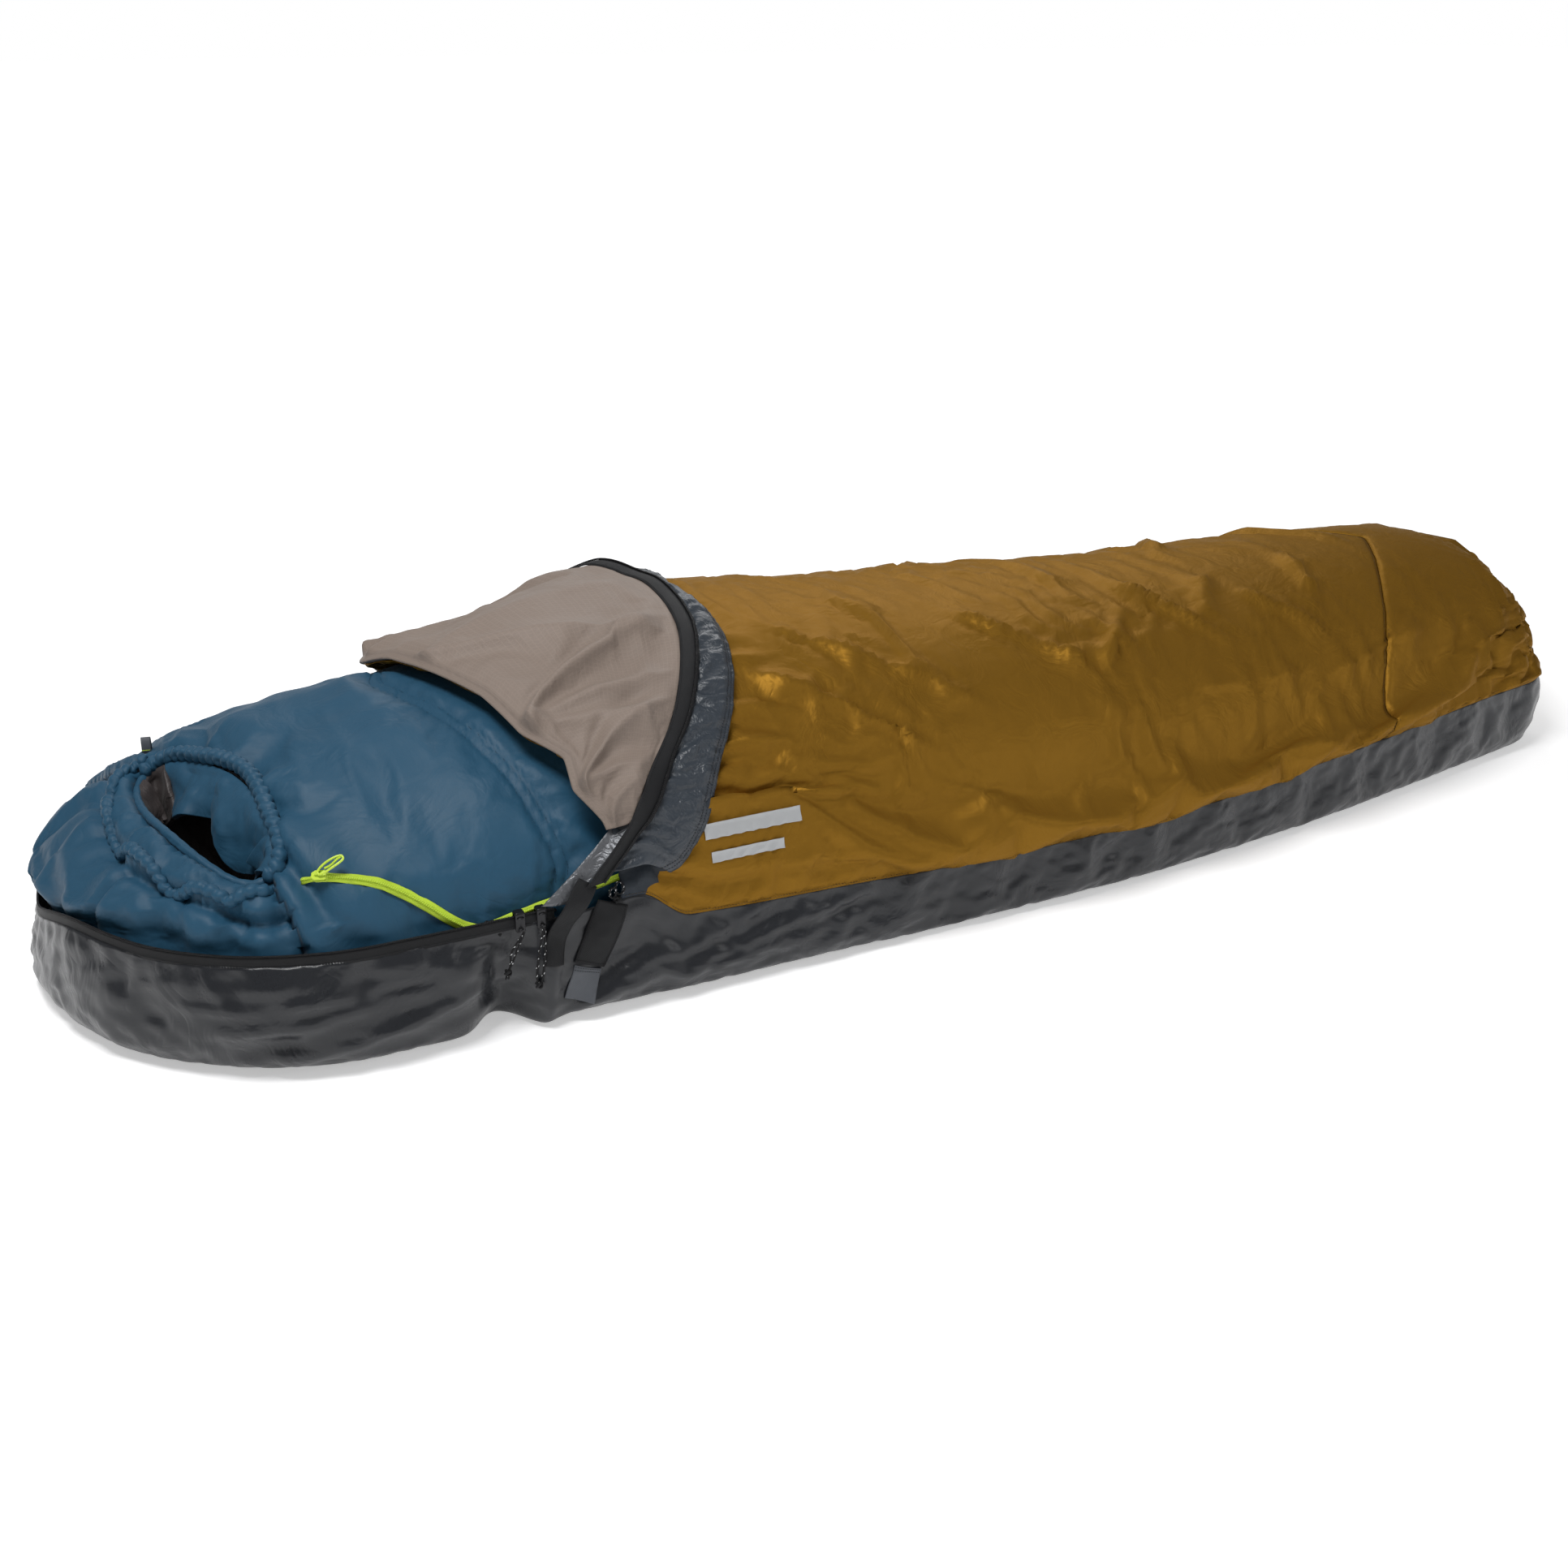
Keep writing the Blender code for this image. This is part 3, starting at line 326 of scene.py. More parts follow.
def bag_section(x, inset=0.0):
    """Half width, lowest z and highest z of the sleeping bag at x."""
    w = half_width(x, BAG_INSET + inset)
    shut = np.clip(w / tapered(x, SHOULDER_HALF - BAG_INSET - inset), 0, 1)
    top = np.maximum(table(BAG_CREST, x) - inset, BAG_AXIS_Z + 0.004)
    low = (BAG_BOTTOM_Z + inset
           + (BAG_AXIS_Z - BAG_BOTTOM_Z - inset - 0.004) * (1 - shut) ** 1.4)
    return w, low, top


def bag_top(x, y):
    """z of the smooth bag above the plan point (x, y)."""
    w, _, top = bag_section(x)
    q = np.clip(np.abs(y) / np.maximum(w, 1e-4), 0, 0.9995)
    z = BAG_AXIS_Z + (top - BAG_AXIS_Z) * np.sqrt(1 - q ** BAG_TOP_POWER)
    return shoulder(points(x, y, z))[..., 2]


def bag_ring_points(x, angle, inset=0.0):
    """Points round the whole bag; angles above pi lie underneath."""
    x, angle = np.broadcast_arrays(np.asarray(x, float), np.asarray(angle, float))
    w, low, top = bag_section(x, inset)
    c, s = np.cos(angle), np.sin(angle)
    y = np.where(s >= 0, np.sign(c) * np.abs(c) ** (2 / BAG_TOP_POWER),
                 np.sign(c) * np.abs(c) ** (2 / BAG_LOW_POWER))
    z = np.where(s >= 0, BAG_AXIS_Z + (top - BAG_AXIS_Z) * s,
                 BAG_AXIS_Z - (BAG_AXIS_Z - low) * np.abs(s) ** (2 / BAG_LOW_POWER))
    return shoulder(points(x, -w * y, z))


# ------------------------------------------------------------------ mesh helpers
def grid_object(name, P, mat, loop_u=False, loop_v=False, keep=None):
    """A quad sheet from an (m, n, 3) array, with UVs in metres along both directions."""
    m, n = P.shape[:2]
    index = np.arange(m * n).reshape(m, n)
    i, j = np.meshgrid(np.arange(m if loop_u else m - 1), np.arange(n if loop_v else n - 1),
                       indexing="ij")
    i2, j2 = (i + 1) % m, (j + 1) % n
    quads = np.stack([index[i, j], index[i2, j], index[i2, j2], index[i, j2]], -1).reshape(-1, 4)
    if keep is not None:
        quads = quads[keep.reshape(-1)]
    mesh = bpy.data.meshes.new(name)
    mesh.from_pydata(P.reshape(-1, 3).tolist(), [], quads.tolist())
    u, v = np.zeros((m, n)), np.zeros((m, n))
    u[1:] = np.cumsum(np.linalg.norm(np.diff(P, axis=0), axis=-1), 0)
    v[:, 1:] = np.cumsum(np.linalg.norm(np.diff(P, axis=1), axis=-1), 1)
    u = np.broadcast_to(u.mean(1)[:, None], (m, n)).reshape(-1)
    corners = quads.reshape(-1)
    uv = np.stack([u[corners], v.reshape(-1)[corners]], -1).astype(np.float32)
    mesh.uv_layers.new(name="UVMap").data.foreach_set("uv", uv.ravel())
    ob = bpy.data.objects.new(name, mesh)
    SCENE.collection.objects.link(ob)
    mesh.materials.append(mat)
    mesh.shade_smooth()
    mesh.update()
    return ob


def coords(ob, evaluated=False):
    mesh = ob.data
    if evaluated:
        mesh = ob.evaluated_get(bpy.context.evaluated_depsgraph_get()).data
    flat = np.zeros(len(mesh.vertices) * 3, np.float32)
    mesh.vertices.foreach_get("co", flat)
    return flat.reshape(-1, 3).astype(float)


def set_coords(ob, P):
    ob.data.vertices.foreach_set("co", np.asarray(P, np.float32).ravel())
    ob.data.update()


def apply_mods(ob):
    graph = bpy.context.evaluated_depsgraph_get()
    mesh = bpy.data.meshes.new_from_object(ob.evaluated_get(graph), depsgraph=graph)
    old = ob.data
    ob.modifiers.clear()
    ob.data = mesh
    mesh.name = old.name
    bpy.data.meshes.remove(old)


def subdivide(ob):
    mod = ob.modifiers.new("sub", "SUBSURF")
    mod.levels = mod.render_levels = 1
    apply_mods(ob)


def thicken(ob, thickness=0.0008, offset=-1.0):
    mod = ob.modifiers.new("cloth", "SOLIDIFY")
    mod.thickness = thickness
    mod.offset = offset


def edit_mesh(ob, change):
    bm = bmesh.new()
    bm.from_mesh(ob.data)
    change(bm)
    bm.to_mesh(ob.data)
    bm.free()


def fix_normals(ob):
    edit_mesh(ob, lambda bm: bmesh.ops.recalc_face_normals(bm, faces=bm.faces[:]))


def drop_loose(ob):
    edit_mesh(ob, lambda bm: bmesh.ops.delete(
        bm, geom=[v for v in bm.verts if not v.link_faces], context="VERTS"))


def cloth_sheet(name, P, mat, thickness=0.0008, offset=-1.0, loop_v=False, keep=None):
    """A grid sheet with the cloth's thickness; keep picks the faces that stay."""
    ob = grid_object(name, P, mat, loop_v=loop_v, keep=keep)
    if keep is not None:
        drop_loose(ob)
    fix_normals(ob)
    thicken(ob, thickness, offset)
    return ob


def sweep(path, radius, sides, closed=False, squash=1.0):
    """Rings (n, sides, 3) along path; radius is a number, or one per ring, or per vertex."""
    P = np.asarray(path, float)
    n = len(P)
    T = tangents(P)
    if closed:
        T = unit(np.roll(P, -1, 0) - np.roll(P, 1, 0))
    N = np.zeros_like(P)
    v = np.array((0, 0, 1), float)
    v = v - T[0] * (v @ T[0])
    if np.linalg.norm(v) < 1e-3:   # the path starts straight up or down
        v = np.cross(T[0], [1, 0, 0.3])
    N[0] = unit(v)
    for i in range(1, n):
        N[i] = unit(N[i - 1] - T[i] * (N[i - 1] @ T[i]))
    if closed:                     # take out the twist left after one turn
        v = unit(N[-1] - T[0] * (N[-1] @ T[0]))
        twist = math.atan2(np.cross(v, N[0]) @ T[0], v @ N[0])
        a = twist * np.arange(n) / n
        N = N * np.cos(a)[:, None] + np.cross(T, N) * np.sin(a)[:, None]
    B = np.cross(T, N)
    q = np.linspace(0, 2 * np.pi, sides, endpoint=False)
    if np.ndim(radius) < 2:
        radius = np.broadcast_to(np.asarray(radius, float), (n,))[:, None] * np.ones(sides)
    ring = (np.cos(q)[None, :, None] * N[:, None] * squash
            + np.sin(q)[None, :, None] * B[:, None])
    return P[:, None] + radius[..., None] * ring


def ring_object(name, rings, mat, closed=False):
    """A tube through rings, capped unless it closes on itself."""
    ob = grid_object(name, rings, mat, loop_u=closed, loop_v=True)
    if closed:
        fix_normals(ob)
        return ob
    count, sides = rings.shape[:2]

    def cap(bm):
        bm.verts.ensure_lookup_table()
        bm.faces.new([bm.verts[k] for k in range(sides)])
        bm.faces.new([bm.verts[(count - 1) * sides + k] for k in range(sides)][::-1])
        bmesh.ops.recalc_face_normals(bm, faces=bm.faces[:])

    edit_mesh(ob, cap)
    ob.data.shade_smooth()
    return ob


def tube_object(name, path, radius, mat, sides=10, closed=False, squash=1.0):
    return ring_object(name, sweep(path, radius, sides, closed, squash), mat, closed)


def gathered_tube(name, path, base_radius, mat, seed, depth, pitch):
    """A soft cloth tube with gathers every pitch, narrower at its ends."""
    path = resample(path, 0.0013)
    along = run_length(path)
    s = along[:, None]
    sides = 22
    q = np.linspace(0, 2 * np.pi, sides, endpoint=False)[None, :]
    phase = (s * 2 * np.pi / pitch + 1.1 * np.sin(q)
             + 2.4 * fbm(points(s * 30, np.cos(q), np.sin(q)), 2, seed))
    lumps = fbm(points(s * 22, 1.5 * np.cos(q), 1.5 * np.sin(q)), 2, seed + 3)
    radius = base_radius * (1 + depth * (np.abs(np.sin(phase / 2)) - 0.6) + 0.18 * lumps)
    end = np.minimum(smooth(-0.004, 0.008, along),
                     smooth(along[-1] + 0.004, along[-1] - 0.008, along))
    radius = radius * (0.35 + 0.65 * end)[:, None]
    return ring_object(name, sweep(path, radius, sides), mat)


def loft_box(name, sections, mat):
    """Closed body with small bevels through polygon sections of equal point counts."""
    bm = bmesh.new()
    rings = [[bm.verts.new(p) for p in section] for section in np.array(sections, float)]
    for a, b in zip(rings, rings[1:]):
        for j in range(len(a)):
            k = (j + 1) % len(a)
            bm.faces.new((a[j], a[k], b[k], b[j]))
    bm.faces.new(rings[0][::-1])
    bm.faces.new(rings[-1])
    bmesh.ops.recalc_face_normals(bm, faces=bm.faces[:])
    mesh = bpy.data.meshes.new(name)
    bm.to_mesh(mesh)
    bm.free()
    mesh.materials.append(mat)
    ob = bpy.data.objects.new(name, mesh)
    SCENE.collection.objects.link(ob)
    bevel = ob.modifiers.new("edge", "BEVEL")
    bevel.width = 0.0006
    bevel.segments = 2
    bevel.limit_method = "ANGLE"
    apply_mods(ob)
    ob.data.shade_smooth()
    ob.data.set_sharp_from_angle(angle=math.radians(50))
    return ob


def prism(name, outline, depth, origin, u, v, w, mat, taper=1.0):
    """An outline in the u, v plane, given depth along w."""
    low = [origin + u * p[0] + v * p[1] - w * depth / 2 for p in outline]
    high = [origin + u * p[0] * taper + v * p[1] * taper + w * depth / 2 for p in outline]
    return loft_box(name, [low, high], mat)


def join(name, obs):
    """One object from several, keeping their materials."""
    bpy.ops.object.select_all(action="DESELECT")
    for o in obs:
        o.select_set(True)
    bpy.context.view_layer.objects.active = obs[0]
    bpy.ops.object.join()
    obs[0].name = name
    obs[0].data.name = name
    return obs[0]


def grid_tree(P, keep=None):
    """Ray-cast tree of an open grid; keep picks its faces."""
    rows, cols = P.shape[:2]
    quads = [(i * cols + j, (i + 1) * cols + j, (i + 1) * cols + j + 1, i * cols + j + 1)
             for i in range(rows - 1) for j in range(cols - 1) if keep is None or keep[i, j]]
    return BVHTree.FromPolygons([tuple(v) for v in P.reshape(-1, 3)], quads)


def place(obs, body, node=None):
    """Each object rides on its body and may stand for a CAD node, which is then hidden."""
    for o in obs:
        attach(o, body)
        if node:
            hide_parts(node)


COLLISION_GAP = 0.003


def simulate(ob, frames, pin, swell, bend, tension, gravity, quality, pressure=0.0,
             collider=None):
    """Cloth run on ob, written back to its mesh; swell makes the cloth larger than the mesh."""
    group = ob.vertex_groups.new(name="pin")
    pin = np.round(np.asarray(pin).ravel(), 2)
    for w in np.unique(pin):
        if w > 0:
            group.add(np.nonzero(pin == w)[0].tolist(), float(w), "REPLACE")
    mod = ob.modifiers.new("Cloth", "CLOTH")
    s = mod.settings
    s.quality = quality
    s.mass = 0.1
    s.tension_stiffness = s.compression_stiffness = tension
    s.shear_stiffness = tension * 0.4
    s.bending_model = "ANGULAR"
    s.bending_stiffness = bend
    s.tension_damping = s.compression_damping = s.shear_damping = 8.0
    s.bending_damping = 0.6
    s.air_damping = 1.0
    s.vertex_group_mass = "pin"
    s.pin_stiffness = 1.0
    s.shrink_min = -swell
    s.effector_weights.gravity = gravity
    if pressure:
        s.use_pressure = True
        s.uniform_pressure_force = pressure
    c = mod.collision_settings
    c.use_collision = collider is not None
    c.distance_min = COLLISION_GAP
    c.collision_quality = 2
    c.use_self_collision = False
    if collider is not None:
        collider.modifiers.new("Collision", "COLLISION")
        collider.collision.thickness_outer = COLLISION_GAP
        collider.collision.cloth_friction = 8
    mod.point_cache.frame_start = 1
    mod.point_cache.frame_end = frames
    before = coords(ob)
    for f in range(1, frames + 1):
        SCENE.frame_set(f)
    after = coords(ob, True)
    ob.modifiers.remove(mod)
    ob.vertex_groups.remove(group)
    SCENE.frame_set(1)
    bad = ~np.isfinite(after).all(1)
    after[bad] = before[bad]
    set_coords(ob, after)


# ------------------------------------------------------------------ materials, all from nodes
BLOTCH_SCALE = 9.0      # colour blotches per metre


def cloth(name, color, rough, metal=0.0, sheen=0.0, spec=0.5, tint=0.12, weave=900.0,
          weave_h=0.00006, grid=0.0, grid_h=0.0, crinkle=0.0, crinkle_scale=60.0, fine=0.0):
    """Woven cloth or smooth plastic.

    tint: share by which the colour varies. weave, weave_h: threads per metre and their height.
    grid, grid_h: ripstop pitch and height. crinkle, crinkle_scale: height and scale of creases.
    fine: height of the finest grain.
    """
    mat = bpy.data.materials.new(name)
    mat.use_nodes = True
    nodes, links = mat.node_tree.nodes, mat.node_tree.links
    shader = nodes["Principled BSDF"]
    place_in = nodes.new("ShaderNodeTexCoord")

    def calc(op, *inputs):
        node = nodes.new("ShaderNodeMath")
        node.operation = op
        for socket, value in zip(node.inputs, inputs):
            if isinstance(value, (int, float)):
                socket.default_value = value
            else:
                links.new(value, socket)
        return node.outputs[0]

    def noise(scale, detail=2.0, roughness=0.5, distortion=0.0):
        node = nodes.new("ShaderNodeTexNoise")
        node.inputs["Scale"].default_value = scale
        node.inputs["Detail"].default_value = detail
        node.inputs["Roughness"].default_value = roughness
        node.inputs["Distortion"].default_value = distortion
        links.new(place_in.outputs["Object"], node.inputs["Vector"])
        return node.outputs["Fac"]

    def shaded(tone, factor):
        node = nodes.new("ShaderNodeMix")
        node.data_type = "RGBA"
        node.blend_type = "MULTIPLY"
        node.inputs[0].default_value = 1.0
        links.new(tone, node.inputs[6])
        links.new(factor, node.inputs[7])
        return node.outputs[2]

    # uneven colour: broad blotches and a fine mottle
    blotch = noise(BLOTCH_SCALE, detail=4.0, roughness=0.6)
    mottle = noise(BLOTCH_SCALE * 28)
    mix = nodes.new("ShaderNodeMix")
    mix.data_type = "RGBA"
    mix.inputs[6].default_value = [c * (1 - tint) for c in color] + [1]
    mix.inputs[7].default_value = [min(1.0, c * (1 + tint)) for c in color] + [1]
    blotch = calc("MULTIPLY_ADD", blotch, 0.75, 0.0)
    links.new(calc("MULTIPLY_ADD", mottle, 0.25, blotch), mix.inputs[0])
    tone = mix.outputs[2]

    heights = []
    if weave or grid:
        split = nodes.new("ShaderNodeSeparateXYZ")
        links.new(place_in.outputs["UV"], split.inputs[0])
        u, v = split.outputs[0], split.outputs[1]
    if weave:
        warp, weft = (calc("SINE", calc("MULTIPLY", c, weave * 2 * math.pi)) for c in (u, v))
        heights.append(calc("MULTIPLY", calc("MULTIPLY", warp, weft), weave_h))
        tone = shaded(tone, calc("MULTIPLY_ADD", calc("MULTIPLY", warp, weft), 0.06, 0.97))
    if grid:
        lines = [calc("POWER", calc("ABSOLUTE", calc("COSINE", calc(
            "MULTIPLY", c, math.pi / grid))), 24.0) for c in (u, v)]
        ripstop = calc("MAXIMUM", *lines)
        heights.append(calc("MULTIPLY", ripstop, grid_h))
        tone = shaded(tone, calc("MULTIPLY_ADD", ripstop, 0.10, 0.97))
    if crinkle:
        folds = noise(crinkle_scale, detail=3.0, roughness=0.55, distortion=1.2)
        folds = calc("ABSOLUTE", calc("SUBTRACT", folds, 0.5))
        heights.append(calc("MULTIPLY", folds, crinkle * 2.0))
    if fine:
        heights.append(calc("MULTIPLY", noise(420.0), fine))
    height = heights[0]
    for extra in heights[1:]:
        height = calc("ADD", height, extra)
    bump = nodes.new("ShaderNodeBump")
    bump.inputs["Strength"].default_value = 1.0
    bump.inputs["Distance"].default_value = 1.0
    links.new(height, bump.inputs["Height"])
    links.new(bump.outputs[0], shader.inputs["Normal"])

    uneven = calc("MULTIPLY_ADD", noise(BLOTCH_SCALE * 4, detail=3.0), 0.16, rough - 0.08)
    links.new(uneven, shader.inputs["Roughness"])
    links.new(tone, shader.inputs["Base Color"])
    for socket, value in (("Metallic", metal), ("Sheen Weight", sheen), ("Sheen Roughness", 0.4),
                          ("Coat Roughness", 0.2), ("Specular IOR Level", spec)):
        shader.inputs[socket].default_value = value
    return mat


BAND_COLOR = (0.033, 0.041, 0.052)
M = {
    "gold": cloth("gold_laminate_cloth", (0.235, 0.118, 0.0145), rough=0.48, metal=0.5,
                  weave=1100, weave_h=0.00002, fine=0.00004, crinkle=0.0016,
                  crinkle_scale=16.0, tint=0.10, spec=0.10),
    "slate": cloth("slate_coated_cloth", (0.0148, 0.0162, 0.0196), rough=0.30,
                   weave_h=0.00002, crinkle=0.0018, crinkle_scale=13.0, spec=0.42),
    "band": cloth("slate_band_cloth", BAND_COLOR, rough=0.34, weave_h=0.00002,
                  crinkle=0.0022, crinkle_scale=40.0, tint=0.10, spec=0.42),
    "taupe": cloth("taupe_ripstop_cloth", (0.235, 0.186, 0.155), rough=0.62, sheen=0.05,
                   weave=520, weave_h=0.00005, grid=0.0052, grid_h=0.00010, crinkle=0.0008,
                   crinkle_scale=30.0, tint=0.07, spec=0.35),
    "silver": cloth("silver_inner_cloth", (0.12, 0.125, 0.135), rough=0.32, metal=0.35,
                    weave_h=0.00002, crinkle=0.0016, crinkle_scale=55.0),
    "blue": cloth("blue_taffeta_cloth", (0.0165, 0.073, 0.132), rough=0.52, sheen=0.04,
                  weave=1000, weave_h=0.00003, crinkle=0.0016, crinkle_scale=13.0,
                  fine=0.00003, spec=0.30),
    "brown": cloth("charcoal_taffeta_cloth", (0.048, 0.040, 0.039), rough=0.50, sheen=0.05,
                   weave=1000, weave_h=0.00003, crinkle=0.0018, crinkle_scale=30.0, spec=0.35),
    "black": cloth("black_woven_tape", (0.0085, 0.0088, 0.010), rough=0.60, weave=620,
                   weave_h=0.00010, tint=0.2, spec=0.25),
    "coil": cloth("black_coil_nylon", (0.012, 0.012, 0.013), rough=0.32, weave=0,
                  fine=0.00003, tint=0.1, spec=0.4),
    "net": cloth("black_net_cloth", (0.007, 0.0075, 0.008), rough=0.75, weave=420,
                 weave_h=0.00016, tint=0.25, spec=0.2),
    "cord": cloth("black_braided_cord", (0.009, 0.009, 0.010), rough=0.66, weave=700,
                  weave_h=0.00012, tint=0.15, spec=0.25),
    "tracer": cloth("reflective_tracer", (0.62, 0.63, 0.64), rough=0.35, metal=0.2, weave=0,
                    fine=0.00004, tint=0.08),
    "reflect": cloth("reflective_film", (0.42, 0.43, 0.44), rough=0.36, metal=0.2, weave=1400,
                     weave_h=0.00001, fine=0.00002, tint=0.05),
    "lime": cloth("lime_zip_tape", (0.50, 0.68, 0.045), rough=0.60, weave=700,
                  weave_h=0.00008, tint=0.07, spec=0.3),
    "lime_plastic": cloth("lime_coil_plastic", (0.56, 0.74, 0.06), rough=0.32, weave=0,
                          fine=0.00002, tint=0.05),
    "metal": cloth("black_slider_casting", (0.018, 0.018, 0.020), rough=0.30, metal=0.55,
                   weave=0, fine=0.00005),
    "plastic": cloth("black_moulded_plastic", (0.014, 0.014, 0.015), rough=0.36, weave=0,
                     fine=0.00004, tint=0.1),
    "grey": cloth("grey_nylon_webbing", (0.085, 0.092, 0.105), rough=0.5, weave=640,
                  weave_h=0.00009, tint=0.1, spec=0.35),
    "thread": cloth("sewing_thread", (0.075, 0.052, 0.026), rough=0.6, weave=0,
                    fine=0.00004, tint=0.1, spec=0.2),
    "thread_blue": cloth("blue_sewing_thread", (0.012, 0.034, 0.056), rough=0.6, weave=0,
                         fine=0.00004, tint=0.1, spec=0.2),
    "thread_dark": cloth("dark_sewing_thread", (0.012, 0.013, 0.015), rough=0.55, weave=0,
                         fine=0.00004, tint=0.1, spec=0.2),
}
M["gold"].node_tree.nodes["Principled BSDF"].inputs["Specular Tint"].default_value = (
    0.85, 0.62, 0.30, 1)


def two_tone(name, first, second, attribute):
    """The first material where the mesh attribute is below zero, the second colour above."""
    mat = first.copy()
    mat.name = name
    nodes, links = mat.node_tree.nodes, mat.node_tree.links
    shader = nodes["Principled BSDF"]
    source = nodes.new("ShaderNodeAttribute")
    source.attribute_name = attribute
    edge = nodes.new("ShaderNodeMapRange")
    edge.inputs["From Min"].default_value = -0.0003
    edge.inputs["From Max"].default_value = 0.0003
    links.new(source.outputs["Fac"], edge.inputs["Value"])
    mix = nodes.new("ShaderNodeMix")
    mix.data_type = "RGBA"
    links.new(edge.outputs["Result"], mix.inputs[0])
    links.new(shader.inputs["Base Color"].links[0].from_socket, mix.inputs[6])
    mix.inputs[7].default_value = (*second, 1)
    links.new(mix.outputs[2], shader.inputs["Base Color"])
    metallic = nodes.new("ShaderNodeMapRange")
    metallic.inputs["To Min"].default_value = shader.inputs["Metallic"].default_value
    metallic.inputs["To Max"].default_value = 0.0
    links.new(edge.outputs["Result"], metallic.inputs["Value"])
    links.new(metallic.outputs["Result"], shader.inputs["Metallic"])
    return mat


# ------------------------------------------------------------------ stitches, zip teeth, cords
FINE_STITCH = dict(pitch=0.0030, length=0.0021)
MEDIUM_STITCH = dict(pitch=0.0034, length=0.0024)
LONG_STITCH = dict(pitch=0.0036, length=0.0026)


def stitches(name, path, normals, mat, pitch, length, radius=0.0003, lift=0.0003):
    """A row of raised thread stitches; normals holds one for all points or one for each."""
    path = np.asarray(path, float)
    normals = np.broadcast_to(normals, path.shape)
    along = run_length(path)
    count = int(along[-1] / pitch)
    s = (np.arange(count) + 0.5) * pitch
    C = interp_rows(s, along, path)
    T = unit(C - interp_rows(s - length / 2, along, path))
    N = unit(interp_rows(s, along, normals))
    B = np.cross(T, N)
    C = C + N * lift
    verts, faces = [], []
    for i in range(count):
        base = len(verts)
        for q, width in ((-0.5, 0.45), (-0.3, 1.0), (0.3, 1.0), (0.5, 0.45)):
            for a, b in ((1, 0), (0, 1), (-1, 0), (0, -1)):
                verts.append(C[i] + T[i] * q * length + (B[i] * a + N[i] * b) * radius * width)
        for k in (base, base + 4, base + 8):
            for j in range(4):
                m = (j + 1) % 4
                faces.append((k + j, k + m, k + 4 + m, k + 4 + j))
        faces.append((base + 3, base + 2, base + 1, base))
        faces.append((base + 12, base + 13, base + 14, base + 15))
    mesh = bpy.data.meshes.new(name)
    mesh.from_pydata([tuple(v) for v in verts], [], faces)
    mesh.materials.append(mat)
    mesh.shade_smooth()
    ob = bpy.data.objects.new(name, mesh)
    SCENE.collection.objects.link(ob)
    fix_normals(ob)
    return ob


TOOTH_SKIP = 1


def zip_teeth(name, path, normals, radius, pitch, wire, core, teeth_mat, core_mat, width=1.0):
    """Coil zip: a flattened spiral with one turn per pitch, and the core inside it."""
    pitch = pitch * TOOTH_SKIP
    path = np.asarray(path, float)
    normals = np.broadcast_to(normals, path.shape)
    P = resample(path, pitch / 8)
    along = run_length(path)
    s = np.linspace(0, along[-1], len(P))
    N = interp_rows(s, along, normals)
    T = tangents(P)
    N = unit(N - T * (N * T).sum(1)[:, None])
    a = s / pitch * 2 * np.pi
    spiral = (P + np.cross(T, N) * (np.cos(a) * radius * width)[:, None]
              + N * (np.sin(a) * radius)[:, None])
    return [tube_object(name + "_teeth", spiral, wire, teeth_mat, sides=4),
            tube_object(name + "_core", path, core, core_mat, sides=6)]


CORD_STEP = 0.0009


def braided(name, path, base_radius, seed, tracer_gap=0.0055):
    """Braided cord: a black core with short light tracers wound along it."""
    P = resample(path, CORD_STEP)
    s = np.arange(len(P)) * CORD_STEP
    radius = base_radius * (1 + 0.10 * np.sin(s * 2 * np.pi / 0.0032 + seed))
    obs = [tube_object(name + "_core", P, radius, M["cord"])]
    T = tangents(P)
    A = unit(np.cross(T, np.array([0.31, 0.2, 0.93])))
    B = np.cross(T, A)
    at, n = 0.003, 0
    while at < s[-1] - 0.002:
        i, j = np.searchsorted(s, at), np.searchsorted(s, at + 0.0017)
        if j - i >= 1 and j < len(P):
            part = slice(i, j + 1)
            turn = seed * 1.7 + n * 2.4 + np.linspace(0, 0.9, j - i + 1)
            side = A[part] * np.cos(turn)[:, None] + B[part] * np.sin(turn)[:, None]
            tracer = P[part] + side * (radius[part] * 0.94)[:, None]
            obs.append(tube_object(name + "_tr", tracer, 0.00042, M["tracer"], sides=6))
        at += tracer_gap * (0.8 + 0.35 * math.sin(3.1 * n + seed))
        n += 1
    return obs


def knot(name, at, axis, radius):
    """A small knot: one closed length of cord wound twice round the axis."""
    axis = unit(np.array(axis, float))
    u = unit(np.cross(axis, [0.2, 1, 0.1]))
    v = np.cross(axis, u)
    q = np.linspace(0, 2 * np.pi, 60)[:-1]
    R = radius * (1.35 + 0.55 * np.cos(3 * q))
    path = (np.array(at) + u * (R * np.cos(2 * q))[:, None] + v * (R * np.sin(2 * q))[:, None]
            + axis * (radius * 1.3 * np.sin(3 * q))[:, None])
    return tube_object(name, path, radius * 0.95, M["cord"], sides=8, closed=True)


# ------------------------------------------------------------------ canopy and foot panel
CANOPY_ROWS, FOOT_ROWS, CANOPY_COLS = ((136, 46, 120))
SEAM_ROW = CANOPY_ROWS - 1
CREASE_GAIN = 1.25
